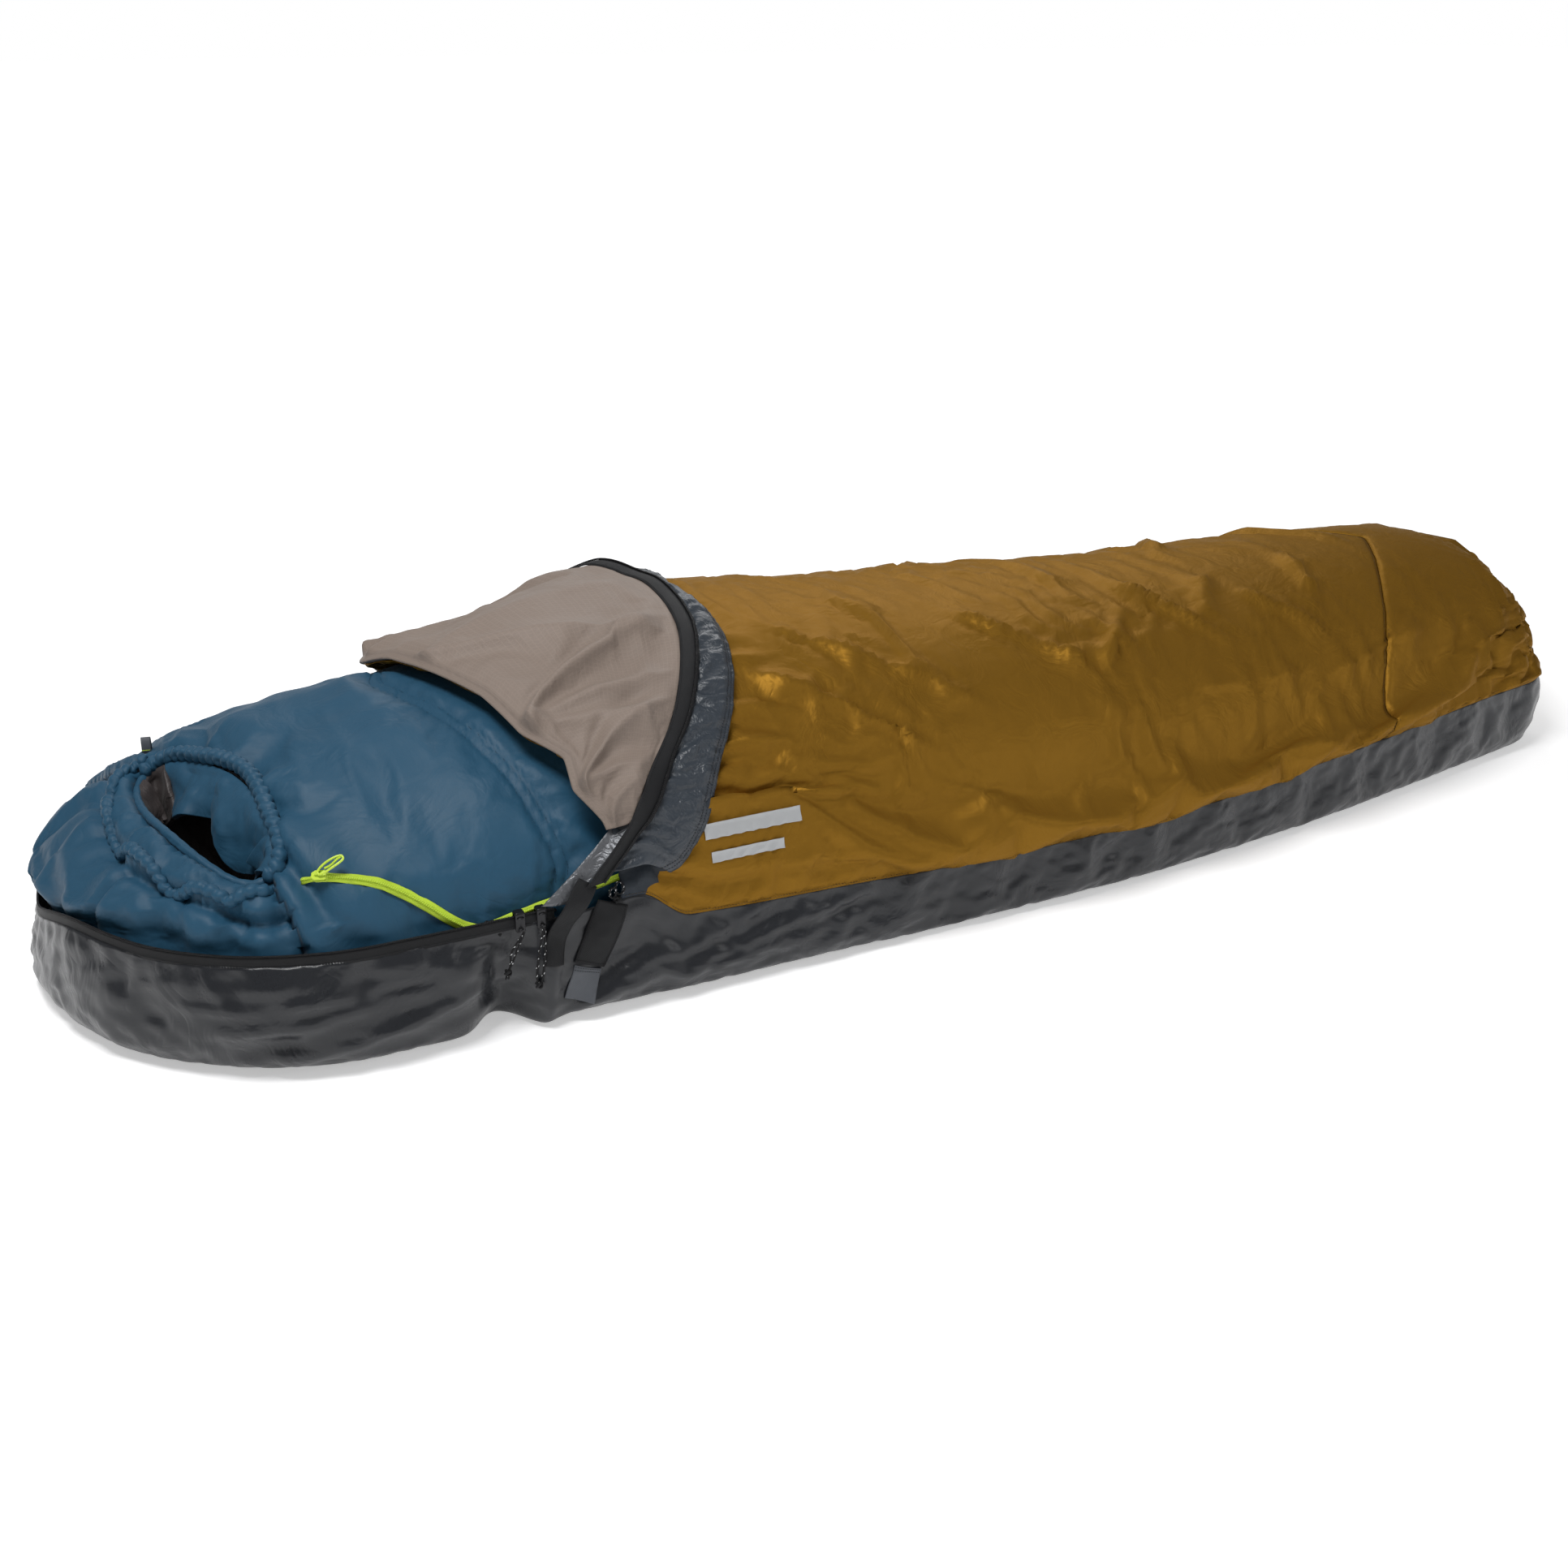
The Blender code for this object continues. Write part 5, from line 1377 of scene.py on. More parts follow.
def pack_bag(P, A, smooth_form, dist):
    """Fits the bag's cloth to the sack round it."""
    # the bag's head swells out over the rim round the head end
    limit = half_width(P[..., 0]) - 0.006
    px, py = P[..., 0] - HEAD_ARC_X, P[..., 1]
    pr = np.maximum(np.hypot(px, py), 1e-6)
    low = 0.133 - 0.028 * smooth(-0.20, -0.08, py)
    out = ((0.015 + 0.003 * smooth(-0.20, -0.08, py)) * smooth(0.0, 0.07, dist)
           * smooth(low, low + 0.040, P[..., 2]) * smooth(0.262, 0.20, P[..., 2])
           * smooth(-0.80, -0.93, P[..., 0]) * (A <= np.pi))
    P[..., 0] += px / pr * out
    P[..., 1] += py / pr * out
    # elsewhere it stays inside the sack, and sinks under the hood's fold
    limit = np.maximum(np.where(P[..., 0] < -0.80, 1.0, limit), 0.0)
    P[..., 1] = np.clip(P[..., 1], -limit, limit)
    line = fold_line(np.clip(A, 0, np.pi))
    under = smooth(line - 0.012, line + 0.018, P[..., 0])[..., None]
    sunk = bag_ring_points(P[..., 0], A, 0.0045)
    return np.where((A <= np.pi)[..., None], P * (1 - under) + sunk * under,
                    np.concatenate([P[..., :2], smooth_form[..., 2:]], -1))


def build_bag():
    top_angles = np.linspace(0.0, np.pi, int(0.95 / BAG_STEP))
    angles = np.concatenate([top_angles, np.linspace(np.pi, 2 * np.pi, 34)[1:-1]])
    X, A = np.meshgrid(bag_stations(), angles, indexing="ij")
    form = bag_ring_points(X, A)
    radius = mouth_coords(form[..., 0], form[..., 1])[0]
    upper = (A > 0.02) & (A < np.pi - 0.02)
    # slide the vertices beside the mouth's edge onto it, so that the hole is clean
    near_edge = upper & (np.abs((radius - 1) * MOUTH_B) < BAG_STEP * 0.55)
    scale = np.where(near_edge, 1.0 / np.maximum(radius, 1e-6), 1.0)
    xy = MOUTH_C + (form[..., :2] - MOUTH_C) * scale[..., None]
    z = np.where(near_edge, bag_top(xy[..., 0], xy[..., 1]), form[..., 2])
    P = np.concatenate([xy, z[..., None]], -1)
    radius, phi, u, v = mouth_coords(P[..., 0], P[..., 1])
    # rough distance from the mouth's edge
    dist = (radius - 1) * np.hypot(MOUTH_A * np.cos(phi), MOUTH_B * np.sin(phi))
    head_side = v < 0

    # seams: hood to shell, hood hem, hood centre and two across the shell
    strip = head_side & (dist > 0) & (dist < HOOD_LINE)
    hood_seam = np.exp(-(np.abs(v) / 0.0045) ** 2) * (radius > 1.02)
    hood_hem = np.exp(-((dist - HOOD_LINE) / 0.006) ** 2) * head_side
    shell_seam_x = fold_x(np.clip(np.where(A <= np.pi, A, 0.0), 0.02, np.pi - 0.02)) - BAFFLE_BACK
    baffle = (np.exp(-((P[..., 0] - shell_seam_x) / 0.0035) ** 2)
              + np.exp(-((P[..., 0] - (shell_seam_x + BAFFLE_GAP)) / 0.0035) ** 2))
    centre = (np.exp(-((u - 0.02 - 0.35 * (v + 0.06)) / 0.005) ** 2) * head_side
              * (dist > HOOD_LINE))
    seams = np.clip(hood_seam * (dist > -0.001) + centre * 0.9 + 0.6 * baffle, 0, 1)

    # relief: soft lumps, folds round the mouth, gathers at the hems, sunken seams
    away = np.clip(dist, 0, 1)
    gather = np.sin(phi * 34 + 2.4 * fbm(points(phi * 3), 2, 81)) * 0.5 + 0.5
    gathers = (gather * (np.exp(-away / 0.022) * ~head_side
                         + np.exp(-np.abs(dist - HOOD_LINE) / 0.018) * head_side)
               * (dist > -0.001))
    soft = (0.0075 * fbm(P * np.array([6.0, 8.0, 8.0]), 3, 82)
            + 0.0045 * ridge(P * np.array([12, 7, 9.0]), 2, 83))
    radial = (0.0150 * np.exp(-np.clip(dist - 0.015, 0, 1) / 0.10)
              * (np.sin(phi * 11 + 2 * fbm(P * 9, 2, 84)) * 0.5 + 0.5) * (dist > 0))
    relief = soft + radial + 0.0036 * gathers - 0.0065 * seams - 0.012 * hood_hem * (dist > 0)
    relief += 0.010 * strip * np.sin(np.clip(dist / HOOD_LINE, 0, 1) * np.pi)
    relief += 0.008 * smooth(0.0, 0.03, dist) * (~head_side) * np.exp(-away / 0.12)
    seen = ((A <= np.pi) * smooth(0.0, 0.25, np.sin(np.clip(A, 0, np.pi)) * 2.2)
            * smooth(-0.40, -0.52, P[..., 0]))
    relief = np.clip(relief - 0.005, -0.016, 0.013) * seen * smooth(-1.051, -1.03, P[..., 0])
    relief = np.where(upper & (np.abs(dist) < BAG_STEP * 0.6), -0.002, relief)
    P = P + sheet_normals(form) * relief[..., None]

    whole = grid_object("bag_tmp", P, M["blue"], loop_v=True)
    pin = np.clip(seams * 0.9, 0, 0.9)
    pin = np.where(hood_hem > 0.5, 0.95, pin)
    pin[radius < 1.02] = 1
    pin[(A > np.pi) | (A < 0.05) | (A > np.pi - 0.05)] = 1
    pin[P[..., 0] > -0.47] = 1
    pin[:3] = 1
    simulate(whole, 12, pin, swell=0.035, bend=0.5, tension=16, gravity=0.0,
             quality=4, pressure=0.12)
    final = limit_shift(P, coords(whole).reshape(P.shape), 0.011)
    final = pack_bag(final, A, form, dist)
    bpy.data.objects.remove(whole)

    # faces inside the mouth are left out; the rest split at the seam between hood and shell
    is_open = (face_mean(radius) < 1.0) & (angles[None, :] < np.pi)
    side = face_mean(v)
    for name, keep, node in (("bag_shell_cloth", ~is_open & (side >= 0), "bag_shell"),
                             ("bag_hood_cloth", ~is_open & (side < 0), "bag_hood")):
        ob = cloth_sheet(name, final, M["blue"], loop_v=True, keep=keep)
        place([ob], "sack", node)
    on_top = np.arange(len(angles)) < len(top_angles) - 1
    return grid_tree(final, ~is_open & on_top[None, :])


bag_tree = build_bag()


def on_bag(x, y, lift=0.0):
    """Point on the bag's cloth above (x, y) and its normal."""
    hit, normal = bag_tree.ray_cast(Vector((x, y, 0.6)), Vector((0, 0, -1)))[:2]
    if hit is None:
        return np.array([x, y, float(bag_top(x, y)) + lift]), np.array([0, 0, 1.0])
    normal = normal if normal.z > 0 else -normal
    return np.array(hit + normal * lift), np.array(normal)


def ring_point(phi, grow=0.0, lift=0.0):
    """Point on the mouth's edge at angle phi, or grow outside it."""
    x, y = mouth_xy((MOUTH_A + grow) * math.cos(phi), (MOUTH_B + grow) * math.sin(phi))
    return np.array([x, y, float(bag_top(x, y)) + lift])


def build_bag_stitches():
    lines = []
    # the hood seam runs on from both ends of the mouth; too short a run has no stitches
    for side, length in ((-1, 0.30), (1, 0.085)):
        start = MOUTH_A * 1.12
        line = [mouth_xy(side * t, 0.0035) for t in np.linspace(start, start + length, 40)]
        line = [p for p in line if abs(p[1]) < half_width(p[0], 0.05)]
        if len(line) > 5:
            lines.append(("hood_seam_stitches", line, MEDIUM_STITCH))
    angle = np.linspace(0.32, np.pi - 0.32, 160)
    c = np.cos(angle)
    y = -0.334 * np.sign(c) * np.abs(c) ** (2 / BAG_TOP_POWER)
    for offset in (0.0, BAFFLE_GAP):
        x = fold_x(angle) - BAFFLE_BACK + offset
        lines.append(("baffle_stitches", zip(x, y), LONG_STITCH))
    threads = []
    for name, line, size in lines:
        path, normals = zip(*[on_bag(x, y, 0.0004) for x, y in line])
        threads.append(stitches(name, np.array(path), np.array(normals), M["thread_blue"],
                                **size))
    place(threads, "sack")


def build_hems():
    """Gathered tubes round the mouth and along the hood's hem."""
    yoke = [ring_point(p, 0.003 * math.sin(5 * p), 0.003 + 0.006 * math.sin(p))
            for p in np.linspace(-0.10, math.pi + 0.16, 70)]
    strip = [ring_point(p, -0.002, -0.001 + 0.003 * math.sin(3 * p))
             for p in np.linspace(math.pi + 0.05, 2 * math.pi - 0.02, 60)]
    hood = []
    for p in np.linspace(math.pi - 0.10, 2 * math.pi - 0.06, 80):
        x, y, _ = ring_point(p, HOOD_LINE * (0.35 + 0.65 * abs(math.sin(p))))
        hood.append(on_bag(x, y, 0.0022)[0])
    hood = np.array(hood)
    relax(hood, 4)
    hems = [gathered_tube("yoke_hem_tube", yoke, 0.0084, M["blue"], seed=91, depth=0.36,
                          pitch=0.0130),
            gathered_tube("hood_hem_tube", hood, 0.0066, M["blue"], seed=92, depth=0.36,
                          pitch=0.0120),
            gathered_tube("mouth_strip_edge", strip, 0.0050, M["blue"], seed=93, depth=0.12,
                          pitch=0.02)]
    place(hems, "sack", "bag_hem_tube")


def build_lining():
    """Lining that drops into the mouth, and the inner skin of the whole bag."""
    phi = np.linspace(0, 2 * np.pi, 220, endpoint=False)
    c, s = np.cos(phi), np.sin(phi)
    d = np.linspace(0, 1, 46)[:, None]
    shrink = 1 - 0.06 * smooth(0, 0.15, d) - 0.50 * smooth(0.15, 1.0, d) ** 1.1
    folds = 0.012 * fbm(points(c * 1.3, s * 1.3, d * 2.2), 3, 95)
    folds += 0.006 * ridge(points(c * 2.6, s * 2.6, d * 1.4), 2, 96)
    folds = folds * smooth(0.0, 0.12, d)
    u = (MOUTH_A * shrink + folds) * c
    v = (MOUTH_B * shrink + folds * 0.8) * s + 0.020 * d
    x = MOUTH_C[0] + MOUTH_DIR[0] * u + MOUTH_SIDE[0] * v + 0.03 * d ** 1.5
    y = MOUTH_C[1] + MOUTH_DIR[1] * u + MOUTH_SIDE[1] * v + 0.01 * d
    edge = np.array([ring_point(p)[2] for p in phi])[None, :]
    level = smooth(0, 0.7, d)
    z = (edge * (1 - level) + (edge.mean() - 0.03) * level - 0.004 - 0.115 * d ** 0.9
         + 0.004 * fbm(points(x * 25, y * 25, d), 2, 97))
    bowl = cloth_sheet("bag_mouth_lining", points(x, y, np.maximum(z, 0.055)), M["brown"],
                       offset=0.0, loop_v=True)
    xs = np.concatenate([np.linspace(-1.01, -0.70, 26), np.linspace(-0.68, 0.98, 40),
                         [1.0, 1.012]])
    angle = np.linspace(0, 2 * np.pi, 72, endpoint=False)
    P = bag_ring_points(xs[:, None], angle[None, :], 0.032)
    radius = face_mean(mouth_coords(P[..., 0], P[..., 1])[0])
    skin = cloth_sheet("bag_inner_skin", P, M["brown"], offset=0.0, loop_v=True,
                       keep=~((radius < 1.02) & (angle[None, :] < np.pi)))
    place([bowl, skin], "sack", "bag_lining")


def mouth_flap(name, mat, phis, drop, inward, seed, thickness=0.006):
    """A soft padded flap that hangs from part of the mouth's edge."""
    g = np.linspace(0, 1, 26)
    P = np.zeros((len(g), len(phis), 3))
    for j, phi in enumerate(phis):
        edge = ring_point(phi, -0.003, -0.003)
        inner = -(MOUTH_DIR * math.cos(phi) + MOUTH_SIDE * math.sin(phi))
        k = j / (len(phis) - 1)
        fall = (drop * (0.72 + 0.28 * math.sin(math.pi * k))
                * (1 + 0.16 * math.sin(seed + 7 * k)))
        reach = inward * (0.8 + 0.35 * math.sin(2.2 * seed + 5 * k))
        P[:, j, 0] = edge[0] + inner[0] * reach * g ** 0.8
        P[:, j, 1] = edge[1] + inner[1] * reach * g ** 0.8
        P[:, j, 2] = edge[2] - fall * g ** 1.25
    waves = (0.007 * fbm(P * np.array([22, 22, 20]), 3, seed)
             + 0.004 * ridge(P * np.array([30, 30, 8]), 2, seed + 1))
    P = P + sheet_normals(P) * (waves * smooth(0, 0.2, g[:, None]))[..., None]
    ob = grid_object(name, P, mat)
    subdivide(ob)
    thicken(ob, thickness, 0)
    apply_mods(ob)
    subdivide(ob)
    fix_normals(ob)
    return ob


def build_mouth_flaps():
    """Blue collar flaps on the foot side and near end, lining flaps on the head and far side."""
    blue, brown = M["blue"], M["brown"]
    collar = [mouth_flap("collar_flap_upper", blue, np.linspace(0.55, 1.75, 30), drop=0.060,
                         inward=0.040, seed=5),
              mouth_flap("collar_flap_lower", blue, np.linspace(1.55, 2.75, 30), drop=0.050,
                         inward=0.045, seed=8, thickness=0.007),
              mouth_flap("collar_flap_end", blue, np.linspace(0.10, 0.75, 22), drop=0.050,
                         inward=0.045, seed=12)]
    lining = [mouth_flap("lining_flap_head", brown, np.linspace(3.35, 4.45, 26), drop=0.050,
                         inward=0.030, seed=15),
              mouth_flap("lining_flap_far", brown, np.linspace(2.75, 3.35, 20), drop=0.055,
                         inward=0.040, seed=18)]
    place(collar, "sack", "bag_draft_collar")
    place(lining, "sack")


build_bag_stitches()
build_hems()
build_lining()
build_mouth_flaps()

# ------------------------------------------------------------------ bag zip on the near flank
# (x, z) on the near flank, from the mouth towards the foot
ZIP_PATH = [(-0.815, 0.196), (-0.795, 0.195), (-0.775, 0.193), (-0.755, 0.190), (-0.735, 0.184),
            (-0.715, 0.174), (-0.695, 0.160), (-0.675, 0.144), (-0.655, 0.132), (-0.635, 0.131),
            (-0.61, 0.136), (-0.585, 0.140), (-0.56, 0.144), (-0.53, 0.148), (-0.50, 0.152),
            (-0.47, 0.156), (-0.44, 0.160)]
ZIP_COUNT = 260


def flank_point(x, z):
    w, _, top = bag_section(x)
    q = (z - BAG_AXIS_Z) / (top - BAG_AXIS_Z)
    return np.array([x, -float(w) * (1 - q ** 2) ** (1 / BAG_TOP_POWER), z])


def flank(x, z):
    """Point and outward normal on the bag's flank, never inside its smooth form."""
    step = 0.002
    base = flank_point(x, z)
    normal = np.cross(flank_point(x + step, z) - base, flank_point(x, z + step) - base)
    normal /= np.linalg.norm(normal)
    hit = bag_tree.ray_cast(Vector(base + normal * 0.06), Vector(-normal), 0.12)[0]
    out = 0.0 if hit is None else (np.array(hit) - base) @ normal
    return base + normal * max(out, 0.0), normal


zip_line, ZIP_N = (np.array(part) for part in zip(
    *[flank(p[0], p[2]) for p in spline([(x, 0, z) for x, z in ZIP_PATH], ZIP_COUNT)]))
relax(zip_line, 14)
ZIP_T = tangents(zip_line)


def build_bag_zip():
    across = np.cross(ZIP_N, ZIP_T)
    k = np.linspace(0, 1, ZIP_COUNT)
    half = 0.0036 + 0.0024 * np.sin(np.pi * np.clip(k * 1.6, 0, 1))
    rows = []
    for lane in np.linspace(-1, 1, 11):
        wave = 0.0007 * np.sin(np.arange(ZIP_COUNT) * 0.33 + lane) * abs(lane)
        rows.append(zip_line + across * (lane * half)[:, None]
                    + ZIP_N * (0.0042 - 0.0022 * lane * lane + wave)[:, None])
    tape = cloth_sheet("bag_zip_tape_cloth", np.array(rows), M["lime"], 0.0009, 0.0)
    teeth = zip_teeth("bag_zip", zip_line + ZIP_N * 0.0053, ZIP_N, radius=0.0015, pitch=0.0023,
                      wire=0.0005, core=0.0012, teeth_mat=M["lime_plastic"],
                      core_mat=M["lime"])
    threads = [stitches("bag_zip_stitches", rows[row], ZIP_N, M["lime_plastic"], pitch=0.0032,
                        length=0.0022, lift=0.0005) for row in (2, 8)]
    place([tape] + threads, "sack", "bag_zip_tape")
    place(teeth, "sack", "bag_zip_coil")


# half outline of a slider plate: (along the zip, across it)
SLIDER_SIDE = [(-0.0068, -0.0026), (-0.0035, -0.0046), (0.0050, -0.0046), (0.0066, -0.0036)]
SLIDER_OUTLINE = SLIDER_SIDE + [(a, -b) for a, b in SLIDER_SIDE[::-1]]
POST_OUTLINE = [(-0.0012, -0.0010), (0.0012, -0.0010), (0.0012, 0.0010), (-0.0012, 0.0010)]


def flank_slider(name, station, pull_length, turn, node, pull_node, body, pull_body, size):
    """Slider at a station of the zip's path, with a pull turned from the zip's direction."""
    mat = M["lime_plastic"]
    i = int(round(station / (len(ZIP_PATH) - 1) * (ZIP_COUNT - 1)))
    t = ZIP_T[i]
    n = flank(*ZIP_PATH[station])[1]
    n = unit(n - t * (n @ t))
    p = zip_line[i] + n * 0.0018
    b = np.cross(n, t)
    outline = [(x * size, y * size) for x, y in SLIDER_OUTLINE]
    top = prism(name + "_top", outline, 0.0014, p + n * 0.0078, t, b, n, mat, taper=0.9)
    base = prism(name + "_base", outline, 0.0012, p + n * 0.0026, t, b, n, mat)
    post = prism(name + "_post", POST_OUTLINE, 0.0050, p + n * 0.0052 + t * 0.0046 * size,
                 t, b, n, mat)
    arch = [p + n * (0.0082 + 0.0028 * math.sin(math.pi * q) ** 0.7) + t * (0.0042 - 0.0084 * q)
            for q in np.linspace(0, 1, 12)]
    bridge = tube_object(name + "_bridge", arch, 0.0009, mat, sides=8)
    slider = join(name, [top, base, post, bridge])
    hinge = p + n * 0.0100
    d = unit(math.cos(turn) * t + math.sin(turn) * b)
    side = np.cross(n, d)
    ring = []
    for q in np.linspace(0, 2 * np.pi, 41)[:-1]:
        reach = pull_length / 2 * (1 - math.cos(q)) + 0.0006
        s = math.sin(q)
        ring.append(hinge + d * reach + side * 0.0046 * np.sign(s) * abs(s) ** 0.6
                    + n * (0.0006 + 0.0022 * math.sin(math.pi * reach / pull_length)))
    loop = tube_object(pull_node + "_loop", ring, 0.00125, mat, closed=True)
    tie = [hinge + d * pull_length * q + n * 0.0018 + side * 0.0008 * math.sin(9 * q)
           for q in np.linspace(0.30, 0.97, 20)]
    grip = tube_object(pull_node + "_grip", tie, 0.0019, M["lime"], squash=0.6)
    place([slider], body, node)
    place([loop, grip], pull_body, pull_node)


build_bag_zip()
flank_slider("bag_slider_upper_visual", station=1, pull_length=0.030, turn=math.radians(35),
             node="bag_slider", pull_node="bag_pull", body="bag_zip_slider",
             pull_body="bag_zip_pull", size=1.25)
flank_slider("bag_slider_lower_visual", station=12, pull_length=0.020, turn=math.radians(20),
             node="bag_slider_lower", pull_node="bag_pull_lower", body="bag_low_slider",
             pull_body="bag_low_pull", size=1.1)

# ------------------------------------------------------------------ sliders and cords on the rim
ZIP_SLIDER_X, NET_SLIDER_X = -0.607, -0.583
# slider section round the rim: (distance from the middle line, z)
RIM_SLIDER = [(0.3432, 0.1372), (0.3448, 0.1372), (0.3452, 0.1468), (0.3522, 0.1468),
              (0.3524, 0.1252), (0.3545, 0.1252), (0.3550, 0.1472), (0.3538, 0.1486),
              (0.3440, 0.1486), (0.3430, 0.1474)]
RIM_SLIDER_CENTRE = (0.3490, 0.1400)


def rim_slider(node, x, side, body):
    name = node + "_visual"
    cy, cz = RIM_SLIDER_CENTRE
    sections = [[(x + dx, side * (cy + (y - cy) * k), cz + (z - cz) * k) for y, z in RIM_SLIDER]
                for dx, k in ((-0.0055, 0.86), (-0.0040, 1.0), (0.0035, 1.0), (0.0055, 0.93))]
    casting = loft_box(name, sections, M["metal"])
    share = np.linspace(0, 1, 9)
    lug = [(x - 0.0022 + 0.0044 * q, side * (0.3553 + 0.0016 * math.sin(math.pi * q)), 0.1294)
           for q in share]
    lug = tube_object(name + "_lug", lug, 0.0009, M["metal"], sides=8)
    arch = [(x + 0.0034 - 0.0068 * q,
             side * (0.3552 + 0.0022 * math.sin(math.pi * q) ** 0.7), 0.1430) for q in share]
    bridge = tube_object(name + "_bridge", arch, 0.0008, M["metal"], sides=8)
    place([join(name, [casting, lug, bridge])], body, node)


def cord_start(x, side):
    return np.array([x, side * 0.3580, 0.1285])


def twin_cord_pull(node, x, side, lean, body, seed, length=0.050):
    """Two strands that hang from a slider to a knot, with two short tails."""
    name = node + "_visual"
    top = cord_start(x, side)
    obs = []
    for k, (dx, dy) in enumerate(((-0.0012, 0.0), (0.0012, 0.0008))):
        strand = []
        for q in np.linspace(0, 1, 16):
            sway = (dx * math.sin(math.pi * min(1, q * 1.3)) * 2.2
                    + 0.0016 * math.sin(7 * q + seed + k))
            strand.append(top + np.array([lean * q + sway,
                                          side * (0.0020 + 0.003 * q * (1 - q) + dy),
                                          -length * q * 0.86]))
        obs += braided(name + str(k), spline(strand, 40), 0.00115, seed + k)
    end = strand[-1]
    obs.append(knot(name + "_knot", end - np.array([0, 0, 0.001]), (lean, 0, -length), 0.0016))
    for k in (-1, 1):
        tail = [end + np.array([k * 0.0016 * q + lean * 0.08 * q, side * 0.0006,
                                -length * 0.17 * q]) for q in np.linspace(0, 1, 6)]
        obs += braided(name + "_tail" + str(k), np.array(tail), 0.0011, seed + k)
    place([join(name, obs)], body, node)


def loop_cord_pull(node, x, side, lean, length, body, seed):
    """One loop of cord with a knot at its lowest point."""
    name = node + "_visual"
    top = cord_start(x, side)
    loop = []
    for q in np.linspace(0, 2 * np.pi, 34)[:-1]:
        u, v = math.sin(q), math.cos(q)
        loop.append(top + np.array([
            lean * (1 - v) / 2 + 0.0052 * u * (0.35 + 0.65 * (1 - v) / 2),
            side * (0.002 + 0.0012 * (1 - v)), -length / 2 * (1 - v) - 0.0006]))
    loop.append(loop[0])
    obs = braided(name, spline(loop, 90), 0.0012, seed)
    obs.append(knot(name + "_knot", loop[len(loop) // 2], (0, 0, -1), 0.0017))
    place([join(name, obs)], body, node)


def build_net_roll():
    """Stowed insect net: a crumpled roll inside the near rim."""
    path = np.stack([np.linspace(-0.648, -0.566, 60),
                     -0.3415 + 0.0012 * np.sin(np.linspace(0, 19, 60)),
                     0.1275 + 0.0015 * np.sin(np.linspace(1, 14, 60))], 1)
    roll = gathered_tube("net_roll_cloth", path, 0.0052, M["net"], seed=121, depth=0.5,
                         pitch=0.009)
    fold = gathered_tube("net_roll_fold", path + np.array([0.004, 0.0035, 0.006]), 0.0036,
                         M["net"], seed=122, depth=0.5, pitch=0.007)
    place([roll, fold], "sack", "net_roll")


rim_slider("zip_slider_near", ZIP_SLIDER_X, -1, "near_slider")
rim_slider("zip_slider_far", ZIP_SLIDER_X, 1, "far_slider")
rim_slider("net_slider", NET_SLIDER_X, -1, "sack")
twin_cord_pull("zip_pull_near", ZIP_SLIDER_X, -1, lean=-0.020, body="near_pull", seed=1)
twin_cord_pull("zip_pull_far", ZIP_SLIDER_X, 1, lean=-0.016, body="far_pull", seed=2)
loop_cord_pull("net_pull", NET_SLIDER_X, -1, lean=-0.010, length=0.066, body="net_cord", seed=3)
build_net_roll()


# ------------------------------------------------------------------ pole pockets, tabs, loops
def wall_at(x, z, side, lift):
    """Point just outside the tub wall or canopy, whichever stands further out."""
    found = []
    for tree in (tub_tree, canopy_tree):
        hit = tree.ray_cast(Vector((x, side * 0.45, z)), Vector((0, -side, 0)), 0.2)[0]
        if hit is not None:
            found.append(abs(hit.y))
    return np.array([x, side * (max(found, default=0.352) + lift), z])


def wall_patch(name, top, low, width, lift, side, mat, bulge, seed):
    """A sewn-on patch from top to low, both (x, z), that follows the wall."""
    start = np.array(top, float)
    axis = np.array(low, float) - start
    length = np.linalg.norm(axis)
    axis /= length
    across = np.array([-axis[1], axis[0]])
    P = np.zeros((25, 17, 3))
    for i, v in enumerate(np.linspace(0, 1, 25)):
        for j, u in enumerate(np.linspace(-0.5, 0.5, 17)):
            x, z = start + axis * length * v + across * width * u
            P[i, j] = wall_at(x, z, side, lift)
    out = np.abs(P[..., 1])
    for _ in range(30):
        relax(out, 1)
        relax(out.T, 1)
    out = np.maximum(out, np.abs(P[..., 1]) - 0.0006)
    U, V = np.meshgrid(np.linspace(-1, 1, 17), np.linspace(0, 1, 25))
    out = (out + bulge * (1 - U ** 2) * np.sin(np.pi * np.clip(V * 1.05, 0, 1))
           + 0.0006 * fbm(points(U * 2, V * 5), 2, seed))
    P[..., 1] = side * out
    return cloth_sheet(name, P, mat, 0.0011, 0), P


